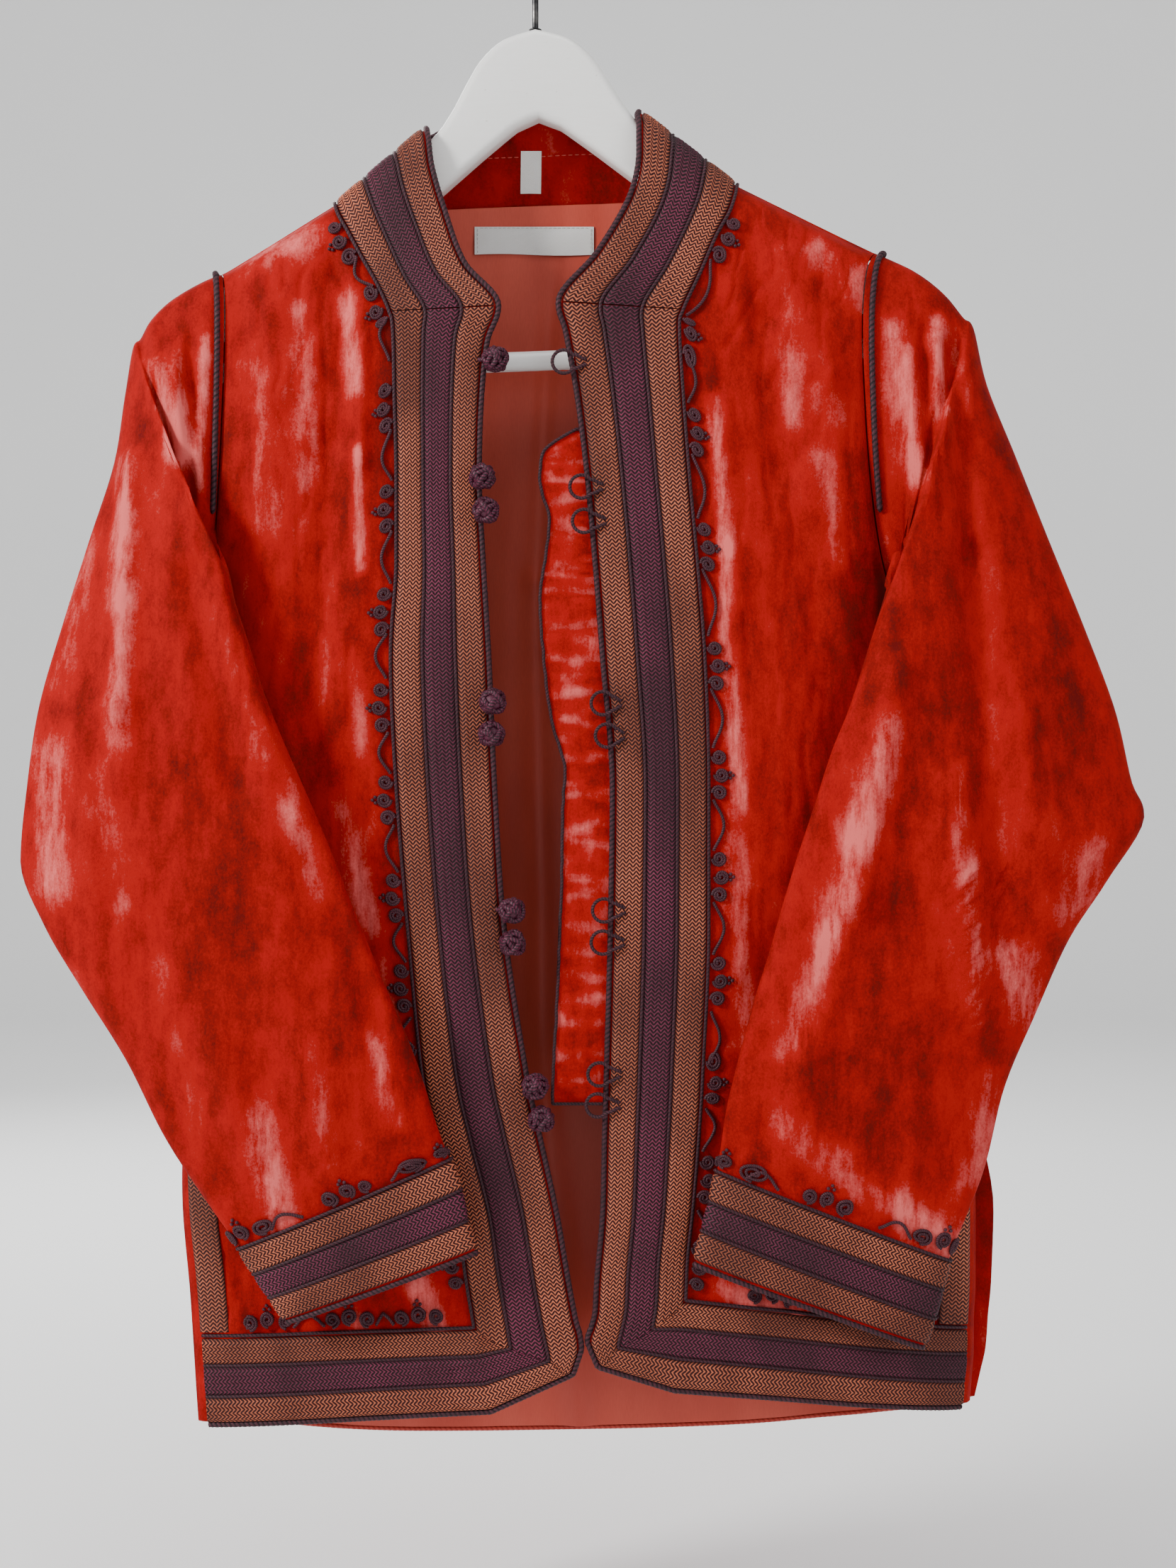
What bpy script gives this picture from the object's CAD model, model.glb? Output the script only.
"""The looks of the velvet jacket and its hanger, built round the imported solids.

Surfaces follow the same tables as the solids, in millimetres: X to the viewer's right, Y into the picture
and Z up, with the origin at the inner top of the hook. Right and left are the wearer's. Pieces are made
finer here: crushed velvet, chevron braid, twisted cords, scroll gimp, knotted balls and ruched velvet.
"""

import math
from functools import lru_cache

import bpy
import numpy as np
from mathutils import Matrix, Vector, noise


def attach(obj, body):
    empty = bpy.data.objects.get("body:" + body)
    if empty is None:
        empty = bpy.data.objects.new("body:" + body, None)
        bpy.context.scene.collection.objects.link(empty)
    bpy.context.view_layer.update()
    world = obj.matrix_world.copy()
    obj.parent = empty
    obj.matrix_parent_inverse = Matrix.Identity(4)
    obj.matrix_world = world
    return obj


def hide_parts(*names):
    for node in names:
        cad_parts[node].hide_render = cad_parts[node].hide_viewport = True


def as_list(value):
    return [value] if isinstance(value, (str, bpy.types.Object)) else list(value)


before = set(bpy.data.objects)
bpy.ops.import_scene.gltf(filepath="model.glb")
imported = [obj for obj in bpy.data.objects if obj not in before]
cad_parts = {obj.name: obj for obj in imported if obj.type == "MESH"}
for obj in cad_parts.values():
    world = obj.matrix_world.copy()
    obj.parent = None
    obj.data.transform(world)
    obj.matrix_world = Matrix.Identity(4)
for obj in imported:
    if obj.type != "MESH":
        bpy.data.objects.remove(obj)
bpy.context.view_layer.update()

MM = 0.001
GAP = 0.3
WALL = 2.0
BAND_WALL = 1.6
LINING_WALL = 1.0
BAND_LIFT = 0.5
CORD_RADIUS = 1.4
PIPING_RADIUS, PIPING_REACH = 1.9, 122
RIGHT, LEFT = -1, 1

# One row for each level of a front, from the shoulder seam down to the hem. The columns are the free edge's
# x, y and z, the bands' inner line's x, y and z, the side seam's or armhole's x, y and z, and the depth
# halfway between the last two.
RIGHT_FRONT = (
    (-59, 0, -122, -106, 0, -162, -166, 0, -199, 0),
    (-58, -8, -125, -105, -8, -165, -165, -8, -202, -8),
    (-57, -13.5, -131, -103, -13.5, -171, -164, -13.5, -208, -14),
    (-55, -17, -146, -98, -17, -180, -163, -17, -222, -18),
    (-49, -20, -167, -91, -20, -193, -161, -18, -240, -21),
    (-38, -23, -197, -82, -23, -209, -160, -19, -261, -24),
    (-20, -26, -220, -76, -25, -223, -160, -19, -277, -26),
    (-26, -26, -239, -74, -26, -233, -161, -19, -292, -26),
    (-29, -27, -271, -73, -27, -268, -162, -18, -318, -28),
    (-30, -27, -308, -72, -28, -308, -166, -14, -345, -29),
    (-28, -28, -352, -72, -28, -352, -173, -3, -370, -30),
    (-25, -28, -403, -75, -28, -403, -176, 1, -411, -30),
    (-22, -28, -470, -72, -28, -470, -179, 2, -473, -29),
    (-17, -28, -543, -66, -28, -543, -182, 2, -541, -28),
    (-6, -27, -616, -59, -27, -616, -185, 1, -608, -27),
    (1, -27, -649, -52, -27, -649, -186, -3, -653, -26),
    (10, -27, -690, -41, -26, -690, -185, -10, -689, -25),
    (16, -26, -725, -36, -26, -725, -181, -14, -727, -24),
    (20, -26, -746, -32, -26, -749, -179, -14, -755, -24),
    (22, -26, -753, -30, -26, -764, -178, -14, -771, -24),
    (23, -26, -761, -26, -26, -778, -177, -14, -787, -24),
    (19, -26, -773, -23, -26, -792, -176, -14, -801, -24),
)
LEFT_FRONT = (
    (56, 0, -113, 107, 0, -152, 181, 0, -188, 0),
    (55, -8, -117, 106, -8, -155, 180, -8, -191, -8),
    (56, -13.5, -123, 105, -13.5, -161, 179, -13.5, -196, -14),
    (56, -17, -137, 102, -17, -170, 176, -17, -210, -18),
    (51, -20, -162, 95, -20, -183, 172, -18, -229, -21),
    (34, -23, -192, 87, -23, -202, 169, -19, -252, -24),
    (14, -26, -218, 78, -25, -222, 169, -19, -272, -26),
    (18, -26, -234, 76, -26, -232, 170, -19, -287, -26),
    (24, -27, -268, 78, -27, -268, 171, -18, -310, -28),
    (29, -27, -308, 81, -28, -308, 177, -14, -340, -29),
    (33, -28, -352, 85, -28, -352, 191, -3, -372, -30),
    (37, -28, -403, 89, -28, -403, 197, 1, -413, -30),
    (42, -28, -470, 91, -28, -470, 204, 2, -473, -29),
    (41, -28, -543, 91, -28, -543, 215, 2, -541, -28),
    (39, -27, -616, 88, -27, -616, 225, 2, -608, -27),
    (38, -27, -649, 86, -27, -649, 231, 0, -653, -26),
    (37, -27, -690, 83, -26, -686, 233, 0, -694, -25),
    (34, -26, -725, 80, -26, -714, 233, 0, -730, -24),
    (33, -26, -742, 79, -26, -735, 232, 0, -753, -24),
    (31, -26, -750, 77, -26, -750, 232, 0, -767, -24),
    (29, -26, -757, 75, -26, -765, 231, 0, -781, -24),
    (34, -26, -769, 73, -26, -781, 230, 0, -794, -24),
)
COLLAR_END = 6
UNDERARM = 10
VENT_TOP = 15
HEM_TOP = 18
HEM = 21

# The stand of the collar behind the neck, from the centre back to the shoulder: top edge and base.
COLLAR_BACK = (
    (-1, 14.5, -113, 0, 26, -160),
    (-22, 14.5, -113.5, -36, 25.5, -161.5),
    (-42, 14.5, -117, -72, 22, -164),
    (-54, 13.5, -123, -96, 15.5, -169),
    (-58, 8, -124.5, -105, 8, -165),
)
COLLAR_BACK_LEFT = (
    (-1, 14.5, -113, 0, 26, -160),
    (20, 14.5, -111.5, 36, 25.5, -159),
    (40, 14.5, -112, 72, 22, -158),
    (52, 13.5, -115, 97, 15.5, -159),
    (55, 8, -115.5, 106, 8, -155),
)
COLLAR_BACK_ROWS = 5

# One row for each slice of a sleeve, from the armhole to the cuff: the outer edge, the inner edge, the
# depth in front of the line between them, the depth behind it, the sideways bow, and the fullness.
RIGHT_SLEEVE = (
    (-166, 0, -199, -173, -2, -366, 19, 22, 6, 3),
    (-174, 0, -202, -173, -4, -364, 20, 22, 4, 3),
    (-185, 0, -208, -173, -6, -361, 20, 22, 2, 3),
    (-195, 0, -215, -173, -8, -358, 19, 22, 1, 3),
    (-203, -1, -224, -173, -11, -354, 18, 22, 0, 3),
    (-208, -2, -233, -173, -14, -347, 15, 22, 0, 2.8),
    (-212, -3, -238, -158, -36, -358, 16, 20, 0, 2.5),
    (-216, -6, -264, -153, -40, -375, 16, 15, 0, 2),
    (-221, -10, -300, -146, -43, -395, 16, 12, 0, 2),
    (-233, -14, -340, -138, -45, -420, 16, 12, 0, 2),
    (-246, -18, -384, -128, -46, -445, 16, 12, 0, 2),
    (-258, -22, -429, -116, -47, -472, 16, 12, 0, 2),
    (-264, -25, -475, -104, -47, -500, 16, 12, 0, 2),
    (-266, -28, -507, -92, -47, -530, 16, 11, 0, 2),
    (-253, -31, -541, -80, -47, -560, 15, 11, 0, 2),
    (-233, -33, -574, -68, -47, -588, 15, 10, 0, 2),
    (-210, -35, -610, -58, -46, -614, 14, 9, 0, 2),
    (-190, -37, -649, -50, -45, -640, 13, 8, 0, 2),
    (-169, -38, -681, -46, -43, -652, 11, 8, 0, 2),
    (-151, -39, -706, -43, -42, -660, 8, 7, 0, 2.2),
    (-143, -39, -719, -38, -41, -676, 7.5, 6.5, 0, 2.2),
    (-135, -39, -731, -35, -41, -692, 7, 6.5, 0, 2.2),
    (-127, -39, -743, -30, -41, -707, 7, 6.5, 0, 2.2),
)
LEFT_SLEEVE = (
    (181, 0, -188, 191, -2, -368, 19, 22, -13, 3),
    (190, 0, -192, 192, -4, -366, 20, 22, -9, 3),
    (200, 0, -197, 192, -6, -363, 20, 22, -5, 3),
    (210, 0, -204, 191, -8, -359, 19, 22, -2, 3),
    (218, -1, -212, 191, -11, -356, 18, 22, 0, 3),
    (226, -2, -222, 192, -14, -349, 15, 22, 0, 2.8),
    (231, -3, -227, 180, -36, -375, 16, 20, 0, 2.5),
    (238, -6, -258, 175, -40, -388, 16, 15, 0, 2),
    (252, -10, -295, 169, -43, -406, 16, 12, 0, 2),
    (269, -14, -340, 161, -45, -430, 16, 12, 0, 2),
    (286, -18, -384, 152, -46, -452, 16, 12, 0, 2),
    (302, -22, -429, 143, -47, -480, 16, 12, 0, 2),
    (310, -25, -466, 135, -47, -504, 16, 12, 0, 2),
    (316, -28, -484, 127, -47, -530, 16, 11, 0, 2),
    (296, -31, -518, 120, -47, -555, 15, 11, 0, 2),
    (276, -33, -548, 112, -47, -580, 15, 10, 0, 2),
    (258, -35, -587, 105, -46, -607, 14, 9, 0, 2),
    (242, -37, -624, 99, -45, -632, 13, 8, 0, 2),
    (231, -38, -667, 96, -43, -652, 11, 8, 0, 2),
    (213, -39, -712, 94, -42, -666, 8, 7, 0, 2.2),
    (209, -39, -727, 91, -41, -682, 7.5, 6.5, 0, 2.2),
    (205, -39, -742, 87, -41, -697, 7, 6.5, 0, 2.2),
    (200, -39, -756, 83, -41, -713, 7, 6.5, 0, 2.2),
)
CUFF_END = 22

# The main folds of the fronts: where each starts and ends, its half width, and its height towards the
# viewer, or its depth where that is negative.
RIGHT_FOLDS = (
    (-101, -198, -104, -290, 9, -2.5),
    (-104, -290, -118, -472, 10, -3.0),
    (-86, -224, -91, -300, 7, 2.5),
    (-91, -300, -84, -371, 7, 1.5),
    (-140, -224, -135, -268, 10, 2.0),
    (-135, -268, -142, -341, 10, 1.5),
    (-128, -540, -112, -735, 13, -2.0),
    (-84, -560, -70, -740, 10, 1.2),
)
LEFT_FOLDS = (
    (109, -169, 119, -225, 8, -2.0),
    (119, -225, 129, -305, 9, -3.0),
    (129, -305, 160, -436, 11, -3.0),
    (134, -195, 153, -257, 9, 2.5),
    (153, -257, 168, -319, 9, 2.0),
    (96, -272, 101, -372, 9, 2.2),
    (101, -372, 107, -470, 8, 1.8),
    (128, -560, 134, -735, 13, -2.0),
    (176, -580, 186, -740, 14, 1.2),
)
# The main folds of the back, hidden from the front: height away from the viewer.
BACK_FOLDS = (
    (-120, -215, -96, -420, 16, 3.0),
    (-96, -420, -112, -760, 20, -3.0),
    (-30, -300, -44, -780, 24, 3.5),
    (40, -260, 62, -700, 22, -3.0),
    (128, -205, 112, -430, 15, 3.0),
    (112, -430, 150, -790, 22, 3.5),
)
# The centre pleat of the lining: height towards the viewer.
LINING_FOLDS = (
    (8, -190, 0, -360, 5, 2.0),
    (0, -360, 4, -640, 6, 2.6),
    (4, -640, 24, -815, 8, 3.2),
    (-14, -705, 10, -735, 5, 1.6),
)

# The back's side edge below the underarm, for each level of the fronts: depth, and how far it stands out
# past the front's own edge on the right and on the left, where the side vent opens.
BACK_SIDE = (
    (3, 0, 0), (4.2, 0, 0), (5.2, 0, 0), (5.2, 0, 0), (5.5, 0, 1), (8, 0, 6), (10, -1, 11), (11, -1, 10),
    (11, -1, 9), (11, -1, 8), (11, -1, 6), (11, -1, 4),
)
BACK_DEPTH, BACK_ROLL, NECK_SEAM = 23.0, 26.0, 1.9

BUTTONS = (
    (-19.9, -248.9), (-26.5, -309.8), (-24.7, -327.3), (-21.0, -425.7), (-21.8, -442.1),
    (-11.2, -533.3), (-10.8, -549.8), (0.8, -624.0), (3.8, -640.5),
)
LOOPS = (
    (15.4, -249.5), (24.5, -314.2), (25.8, -332.0), (35.5, -426.2), (37.7, -442.9),
    (36.2, -533.2), (35.5, -549.8), (33.8, -618.0), (32.9, -634.0),
)
BUTTON_RADIUS = 7.5
LOOP_RADIUS, LOOP_CORD = 6.0, 1.0

# The free edge of the placket behind the left front: x, z.
PLACKET_EDGE = (
    (22.7, -283.6), (5.4, -295.4), (3.5, -311.2), (8.3, -331.4), (6.1, -351.7), (3.5, -371.9),
    (5.4, -403.2), (9.8, -436.3), (16.4, -460.3), (15.3, -480.5), (14.6, -521.0), (12.7, -572.5),
    (10.5, -613.0), (9.8, -634.0),
)

# Half of the hanger's outline, from the apex: x, z below the apex.
HANGER_TOP = (
    (0, 0), (17, -5), (29, -15), (37, -27), (47, -44), (60, -58.5), (106, -94), (166, -128),
    (196, -145), (207, -155), (212, -166),
)
HANGER_UNDERSIDE = (
    (210, -177), (202, -182), (192, -181), (191.5, -168), (150, -145), (106, -121), (57, -88), (30, -66),
    (12, -52),
)
HANGER_APEX_Z = -70
HANGER_TILT = math.radians(2.2)
HANGER_HALF_DEPTH, HANGER_BEVEL = 8.5, 4.4
BAR_RADIUS, BAR_END_X, BAR_BELOW_APEX = 5.2, 191.1, -174.0

def lerp(a, b, t):
    return a + (b - a) * t

def smooth(t):
    t = min(max(t, 0.0), 1.0)
    return t * t * (3 - 2 * t)

def at_row(table, t):
    """The table's row at a fractional place, on a smooth curve through its rows."""
    i = min(max(int(math.floor(t)), 0), len(table) - 2)
    f = t - i
    before, here, there, after = (table[min(max(k, 0), len(table) - 1)] for k in (i - 1, i, i + 1, i + 2))
    row = []
    for a, b, c, d in zip(before, here, there, after):
        limit = 3 * min(abs(b - a), abs(c - b))
        slope_b = 0 if (b - a) * (c - b) <= 0 else max(-limit, min(limit, (c - a) / 2))
        limit = 3 * min(abs(c - b), abs(d - c))
        slope_c = 0 if (c - b) * (d - c) <= 0 else max(-limit, min(limit, (d - b) / 2))
        step = f * f * (3 - 2 * f)
        row.append(b + (c - b) * step + slope_b * f * (1 - f) ** 2 - slope_c * f * f * (1 - f))
    return row

def fold_height(folds, x, z):
    """Height of the folds at a place: each is a soft ridge along its line, fading past both ends."""
    total = 0.0
    for x0, z0, x1, z1, width, height in folds:
        along = ((x - x0) * (x1 - x0) + (z - z0) * (z1 - z0)) / ((x1 - x0) ** 2 + (z1 - z0) ** 2)
        held = min(max(along, 0.0), 1.0)
        across = math.hypot(x - lerp(x0, x1, held), z - lerp(z0, z1, held))
        total += height * math.exp(-(across / width) ** 2)
    return total

def sleeve_ring(table, t, angle, inset=0.0):
    """A point of the sleeve's slice: angle 0 is the outer edge, 90 the front, 180 the inner edge."""
    ox, oy, oz, ix, iy, iz, front, back, bow, fullness = at_row(table, t)
    outer, inner = Vector((ox, oy, oz)), Vector((ix, iy, iz))
    middle = (outer + inner) / 2
    half = outer - middle
    half = half * ((half.length - inset) / half.length)
    c, s = math.cos(angle), math.sin(angle)
    power = 2 / (fullness if c > 0 else 2)
    along = math.copysign(abs(c) ** power, c)
    depth = (front if s > 0 else back) - inset
    out = abs(s) ** power * math.copysign(1, s)
    return middle + half * along + Vector((bow * abs(s), -depth * out, 0))

@lru_cache(maxsize=None)
def armhole_point(sleeve, z, behind=False):
    """The armhole edge at a height, just inside the open end of the sleeve."""
    low, high = 0.0, math.pi
    for _ in range(30):
        angle = (low + high) / 2
        if sleeve_ring(sleeve, 0, -angle if behind else angle).z > z:
            low = angle
        else:
            high = angle
    return sleeve_ring(sleeve, 0, -angle if behind else angle)

def front_point(side, t, u):
    """A point of a front's face: u is -1 at the free edge, 0 at the bands' inner line, 1 at the side."""
    table, sleeve, folds = (
        (RIGHT_FRONT, RIGHT_SLEEVE, RIGHT_FOLDS) if side == RIGHT else (LEFT_FRONT, LEFT_SLEEVE, LEFT_FOLDS)
    )
    ex, ey, ez, lx, ly, lz, sx, sy, sz, my = at_row(table, t)
    if u <= 0:
        return Vector((lerp(lx, ex, -u), lerp(ly, ey, -u), lerp(lz, ez, -u)))
    if t < UNDERARM:
        edge = armhole_point(sleeve, sz)
        blend = smooth((UNDERARM - t) / 0.4)
        sx, sy = lerp(sx, edge.x - side * 0.6, blend), lerp(sy, edge.y, blend)
    x, z = lerp(lx, sx, u), lerp(lz, sz, u)
    if u < 0.5:
        y = lerp(ly, my, math.sin(math.pi * u))
    else:
        q = (u - 0.5) / 0.5
        y = lerp(my, sy, 1 - math.sqrt(max(0.0, 1 - q * q)))
    fade = smooth((u - 0.09) / 0.1) * smooth((1 - u) / 0.2) * smooth((t - 1.5) / 2)
    return Vector((x, y - fade * fold_height(folds, x, z), z))

def collar_point(side, t, u):
    """A point of the collar's outer face: t below 0 runs to the centre back at -5, u is -1 at the top."""
    if t >= 0:
        return front_point(side, t, u)
    back = COLLAR_BACK if side == RIGHT else COLLAR_BACK_LEFT
    shoulder = (RIGHT_FRONT if side == RIGHT else LEFT_FRONT)[0][:6]
    ex, ey, ez, lx, ly, lz = at_row((*back, shoulder), t + COLLAR_BACK_ROWS)
    return Vector((lerp(lx, ex, -u), lerp(ly, ey, -u), lerp(lz, ez, -u)))

@lru_cache(maxsize=None)
def back_top(w):
    """The back's top edge: w is -1 at the right armhole, 0 at the centre, 1 at the left armhole."""
    side = RIGHT if w < 0 else LEFT
    line = [collar_point(side, t - COLLAR_BACK_ROWS, 0) for t in range(COLLAR_BACK_ROWS + 1)]
    line += [front_point(side, 0, 0.5), front_point(side, 0, 1)]
    place = abs(w) * (len(line) - 1)
    i = min(int(place), len(line) - 2)
    return line[i].lerp(line[i + 1], place - i)

def back_point(t, w):
    """A point of the back's outer face, at a level of the fronts and a place across."""
    side = RIGHT if w < 0 else LEFT
    table, other, sleeve = (
        (RIGHT_FRONT, LEFT_FRONT, RIGHT_SLEEVE) if side == RIGHT else (LEFT_FRONT, RIGHT_FRONT, LEFT_SLEEVE)
    )
    edge_x, edge_z = at_row(table, t)[6], at_row(table, t)[8]
    if t < UNDERARM:
        edge = armhole_point(sleeve, edge_z, behind=True)
        edge_x, edge_y = edge.x - side * 1.2, edge.y
    else:
        edge_y, out_right, out_left = at_row(BACK_SIDE, t - UNDERARM)
        edge_x += out_right if side == RIGHT else out_left
    top, top_edge = back_top(w), back_top(side)
    fade = 1 - smooth(t / 8)
    middle_z = (edge_z + at_row(other, t)[8]) / 2
    top_middle_z = (back_top(-1).z + back_top(1).z) / 2
    hem_drop = -14 * smooth((t - 16) / 5) * (1 - abs(w) ** 3)
    z = lerp(middle_z, edge_z, abs(w)) + (top.z - lerp(top_middle_z, top_edge.z, abs(w))) * fade + hem_drop
    z -= NECK_SEAM * (1 - smooth((abs(w) - 0.72) / 0.12)) * fade
    x = lerp(edge_x * abs(w), top.x * edge_x / top_edge.x, fade)
    drop = min(max((top.z - z) / BACK_ROLL, 0.0), 1.0)
    depth = BACK_DEPTH - 3.5 * smooth((t - 14) / 4)
    start = max(top.y, 0.95)
    start = lerp(start, min(start, depth), smooth(t / 8))
    y = start + max(depth - start, 0.0) * math.sqrt(1 - (1 - drop) ** 2)
    inside = smooth((1 - abs(w)) / 0.22)
    if t > 0:
        y = lerp(min(edge_y, y), y, inside)
    shade = smooth((1 - abs(w)) / 0.15) * smooth((t - 4) / 3)
    return Vector((x, y + shade * fold_height(BACK_FOLDS, x, z), z))

CUFF_TOP = 18.92
PUCKER_HEIGHT, CUFF_CRUMPLE = 1.5, 1.6

# The sleeves' long folds in front: x, z, x, z, half width, height towards the viewer.
RIGHT_SLEEVE_FOLDS = (
    (-197, -251, -161, -330, 7, 4.9),
    (-161, -330, -126, -430, 8, 4.5),
    (-126, -430, -68, -580, 9, 4.1),
    (-210, -301, -213, -430, 7, 5.8),
    (-213, -430, -210, -466, 9, 4.5),
    (-176, -360, -150, -470, 8, -3.6),
    (-110, -500, -76, -590, 8, -3.2),
    (-186, -245, -181, -300, 5, 4.1),
    (-171, -240, -173, -325, 5, 3.6),
    (-179, -236, -178, -318, 4, -3.0),
    (-161, -600, -136, -681, 9, 3.6),
    (-118, -600, -104, -668, 8, 2.7),
    (-236, -430, -226, -520, 9, 3.0),
)
LEFT_SLEEVE_FOLDS = (
    (218, -241, 224, -348, 6, -4.5),
    (224, -348, 242, -548, 8, -4.9),
    (187, -409, 163, -527, 9, 4.9),
    (163, -527, 131, -627, 9, 4.1),
    (214, -469, 225, -588, 7, 4.1),
    (196, -245, 203, -320, 6, 4.1),
    (209, -236, 212, -290, 5, 3.6),
    (203, -232, 206, -300, 4, -3.2),
    (250, -430, 268, -540, 9, 3.2),
    (150, -560, 118, -650, 7, -2.7),
    (196, -640, 190, -690, 8, 3.0),
)

# Where the pile lies over and turns pale: x, z, x, z, half width, strength.
NAP_RIGHT_FRONT = (
    (-152, -190, -118, -182, 11, 0.75),
    (-98, -214, -94, -262, 5.5, 0.95),
    (-120, -222, -117, -310, 7, 0.55),
    (-145, -250, -140, -330, 12, 0.50),
    (-91.5, -295, -89.5, -356, 3.5, 0.95),
    (-104, -360, -112, -440, 4, 0.45),
    (-99, -480, -84, -545, 6, 0.60),
    (-93, -400, -90, -450, 4, 0.45),
    (-78, -560, -70, -640, 5, 0.45),
    (-60, -728, -50, -752, 9, 0.85),
    (-110, -736, -84, -752, 6, 0.45),
    (-150, -420, -146, -520, 8, -0.25),
)
NAP_LEFT_FRONT = (
    (150, -190, 172, -212, 10, 0.60),
    (176, -200, 183, -236, 6, 0.65),
    (129, -190, 134, -280, 6, 0.55),
    (93, -268, 99, -345, 4.5, 0.95),
    (99, -345, 98, -392, 4, 0.75),
    (101, -400, 107, -478, 5, 0.80),
    (104, -500, 110, -602, 6, 0.60),
    (150, -300, 158, -350, 6, 0.45),
    (112, -300, 126, -430, 5, 0.20),
    (97, -730, 154, -752, 8, 0.75),
    (165, -300, 190, -410, 9, -0.25),
    (140, -470, 136, -600, 10, -0.20),
)
NAP_RIGHT_SLEEVE = (
    (-197, -250, -184, -298, 7, 0.95),
    (-171, -236, -174, -312, 4, 0.75),
    (-186, -236, -181, -300, 3.5, 0.55),
    (-213, -300, -211, -372, 6, 0.95),
    (-211, -372, -212, -446, 6, 0.75),
    (-249, -450, -247, -520, 12, 0.85),
    (-224, -462, -210, -530, 7, 0.55),
    (-233, -340, -246, -420, 8, 0.55),
    (-160, -380, -139, -455, 6, 0.45),
    (-124, -480, -110, -522, 6, 0.55),
    (-140, -640, -130, -690, 9, 0.95),
    (-80, -598, -70, -640, 6, 0.70),
    (-112, -600, -104, -660, 6, 0.50),
    (-190, -560, -170, -640, 8, 0.35),
    (-150, -300, -142, -360, 8, -0.2),
)
NAP_LEFT_SLEEVE = (
    (187, -232, 198, -308, 8, 0.95),
    (210, -226, 211, -272, 5, 0.95),
    (219, -230, 226, -270, 4, 0.60),
    (181, -440, 166, -492, 9, 0.85),
    (166, -492, 150, -545, 9, 0.80),
    (150, -545, 131, -600, 8, 0.75),
    (215, -462, 219, -512, 4.5, 0.75),
    (219, -512, 225, -590, 4, 0.55),
    (243, -556, 262, -600, 12, 0.85),
    (232, -620, 226, -668, 8, 0.55),
    (288, -500, 276, -540, 8, 0.55),
    (186, -682, 217, -706, 9, 0.95),
    (128, -640, 172, -676, 9, 0.60),
    (262, -350, 282, -430, 9, -0.2),
)
NAP_BACK = (
    (-118, -230, -98, -400, 9, 0.65),
    (-98, -420, -108, -640, 8, 0.45),
    (-30, -320, -44, -600, 10, 0.40),
    (44, -280, 60, -520, 9, 0.50),
    (126, -220, 114, -400, 8, 0.70),
    (118, -440, 150, -700, 10, 0.50),
    (-150, -700, -60, -760, 10, 0.40),
)

# Flat cuts in millimetres: width, length, and the share of that rectangle that the cut takes.
FRONT_CUT = (205, 665, 0.80)
SLEEVE_CUT = (300, 560, 0.80)
BACK_CUT = (440, 640, 0.90)
COLLAR_CUT = (52, 425, 0.95)
LINING_CUT = (410, 620, 0.88)
PLACKET_CUT = (38, 480, 1.0)
LABEL_CUT = (64, 15, 1.0)
TAB_CUT = (11, 19, 1.0)

CAMERA_PLACE, LENS, SENSOR = (27.9, -1300, -467.9), 56.4, 36
FLOOR_Z, STUDIO_RADIUS, WORLD_LIGHT = -0.93, 5.0, 0.42
STUDIO_CURVE, STUDIO_HEIGHT = 1.3, 4.5
# Soft lights: name, place, aim, size, watts, colour.
LIGHTS = (
    ("key", (-1.7, -1.05, 0.45), (0, 0, -0.45), 0.5, 50, (1, 0.99, 0.97)),
    ("fill", (1.5, -1.5, -0.1), (0.05, 0, -0.5), 1.2, 11, (0.97, 0.98, 1)),
    ("top", (0.1, -0.4, 1.1), (0, 0, -0.4), 0.8, 10, (1, 1, 1)),
    ("behind", (-0.7, 1.7, 0.5), (0, 0, -0.45), 1.2, 30, (1, 1, 1)),
    ("wall", (0.0, 1.2, 1.6), (0, 4.0, 0.2), 1.6, 60, (1, 1, 1)),
)

def front_surface(side, t, u):
    """The velvet of a front, with the small crumples that crushed velvet keeps."""
    point = front_point(side, t, u)
    if u <= 0:
        return point
    width = abs(at_row(RIGHT_FRONT if side == RIGHT else LEFT_FRONT, t)[6] - point.x) + 1
    inside = smooth((u * 140 - 14) / 12) * smooth(width / 12) * smooth((t - 0.6) / 2)
    height = crumple(point, side * 3.1) * inside
    pucker = math.exp(-((u * 140 - 24) / 16) ** 2) * smooth((t - 11) / 2)
    height += PUCKER_HEIGHT * pucker * noise.noise(Vector((point.x / 16, side * 7, point.z / 6)))
    point.y -= height
    return point

# Width and length of the velvet's swells, creases and ripples, each with its own layer of noise.
CRUMPLE_SIZES = ((30, 52, 0), (15, 34, 9), (7, 13, 4))
SWELL_HEIGHT, CREASE_DEPTH, RIPPLE_HEIGHT = 1.9, 0.9, 0.35

def crumple(point, seed):
    """Height of the uneven creases that crushed velvet keeps: narrow valleys between soft swells."""
    swell, valley, ripple = (
        noise.noise(Vector((point.x / width, seed * 41 + layer, point.z / length)))
        for width, length, layer in CRUMPLE_SIZES
    )
    crease = max(0.0, 1 - 8 * abs(valley))
    return SWELL_HEIGHT * swell - CREASE_DEPTH * crease + RIPPLE_HEIGHT * ripple

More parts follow.
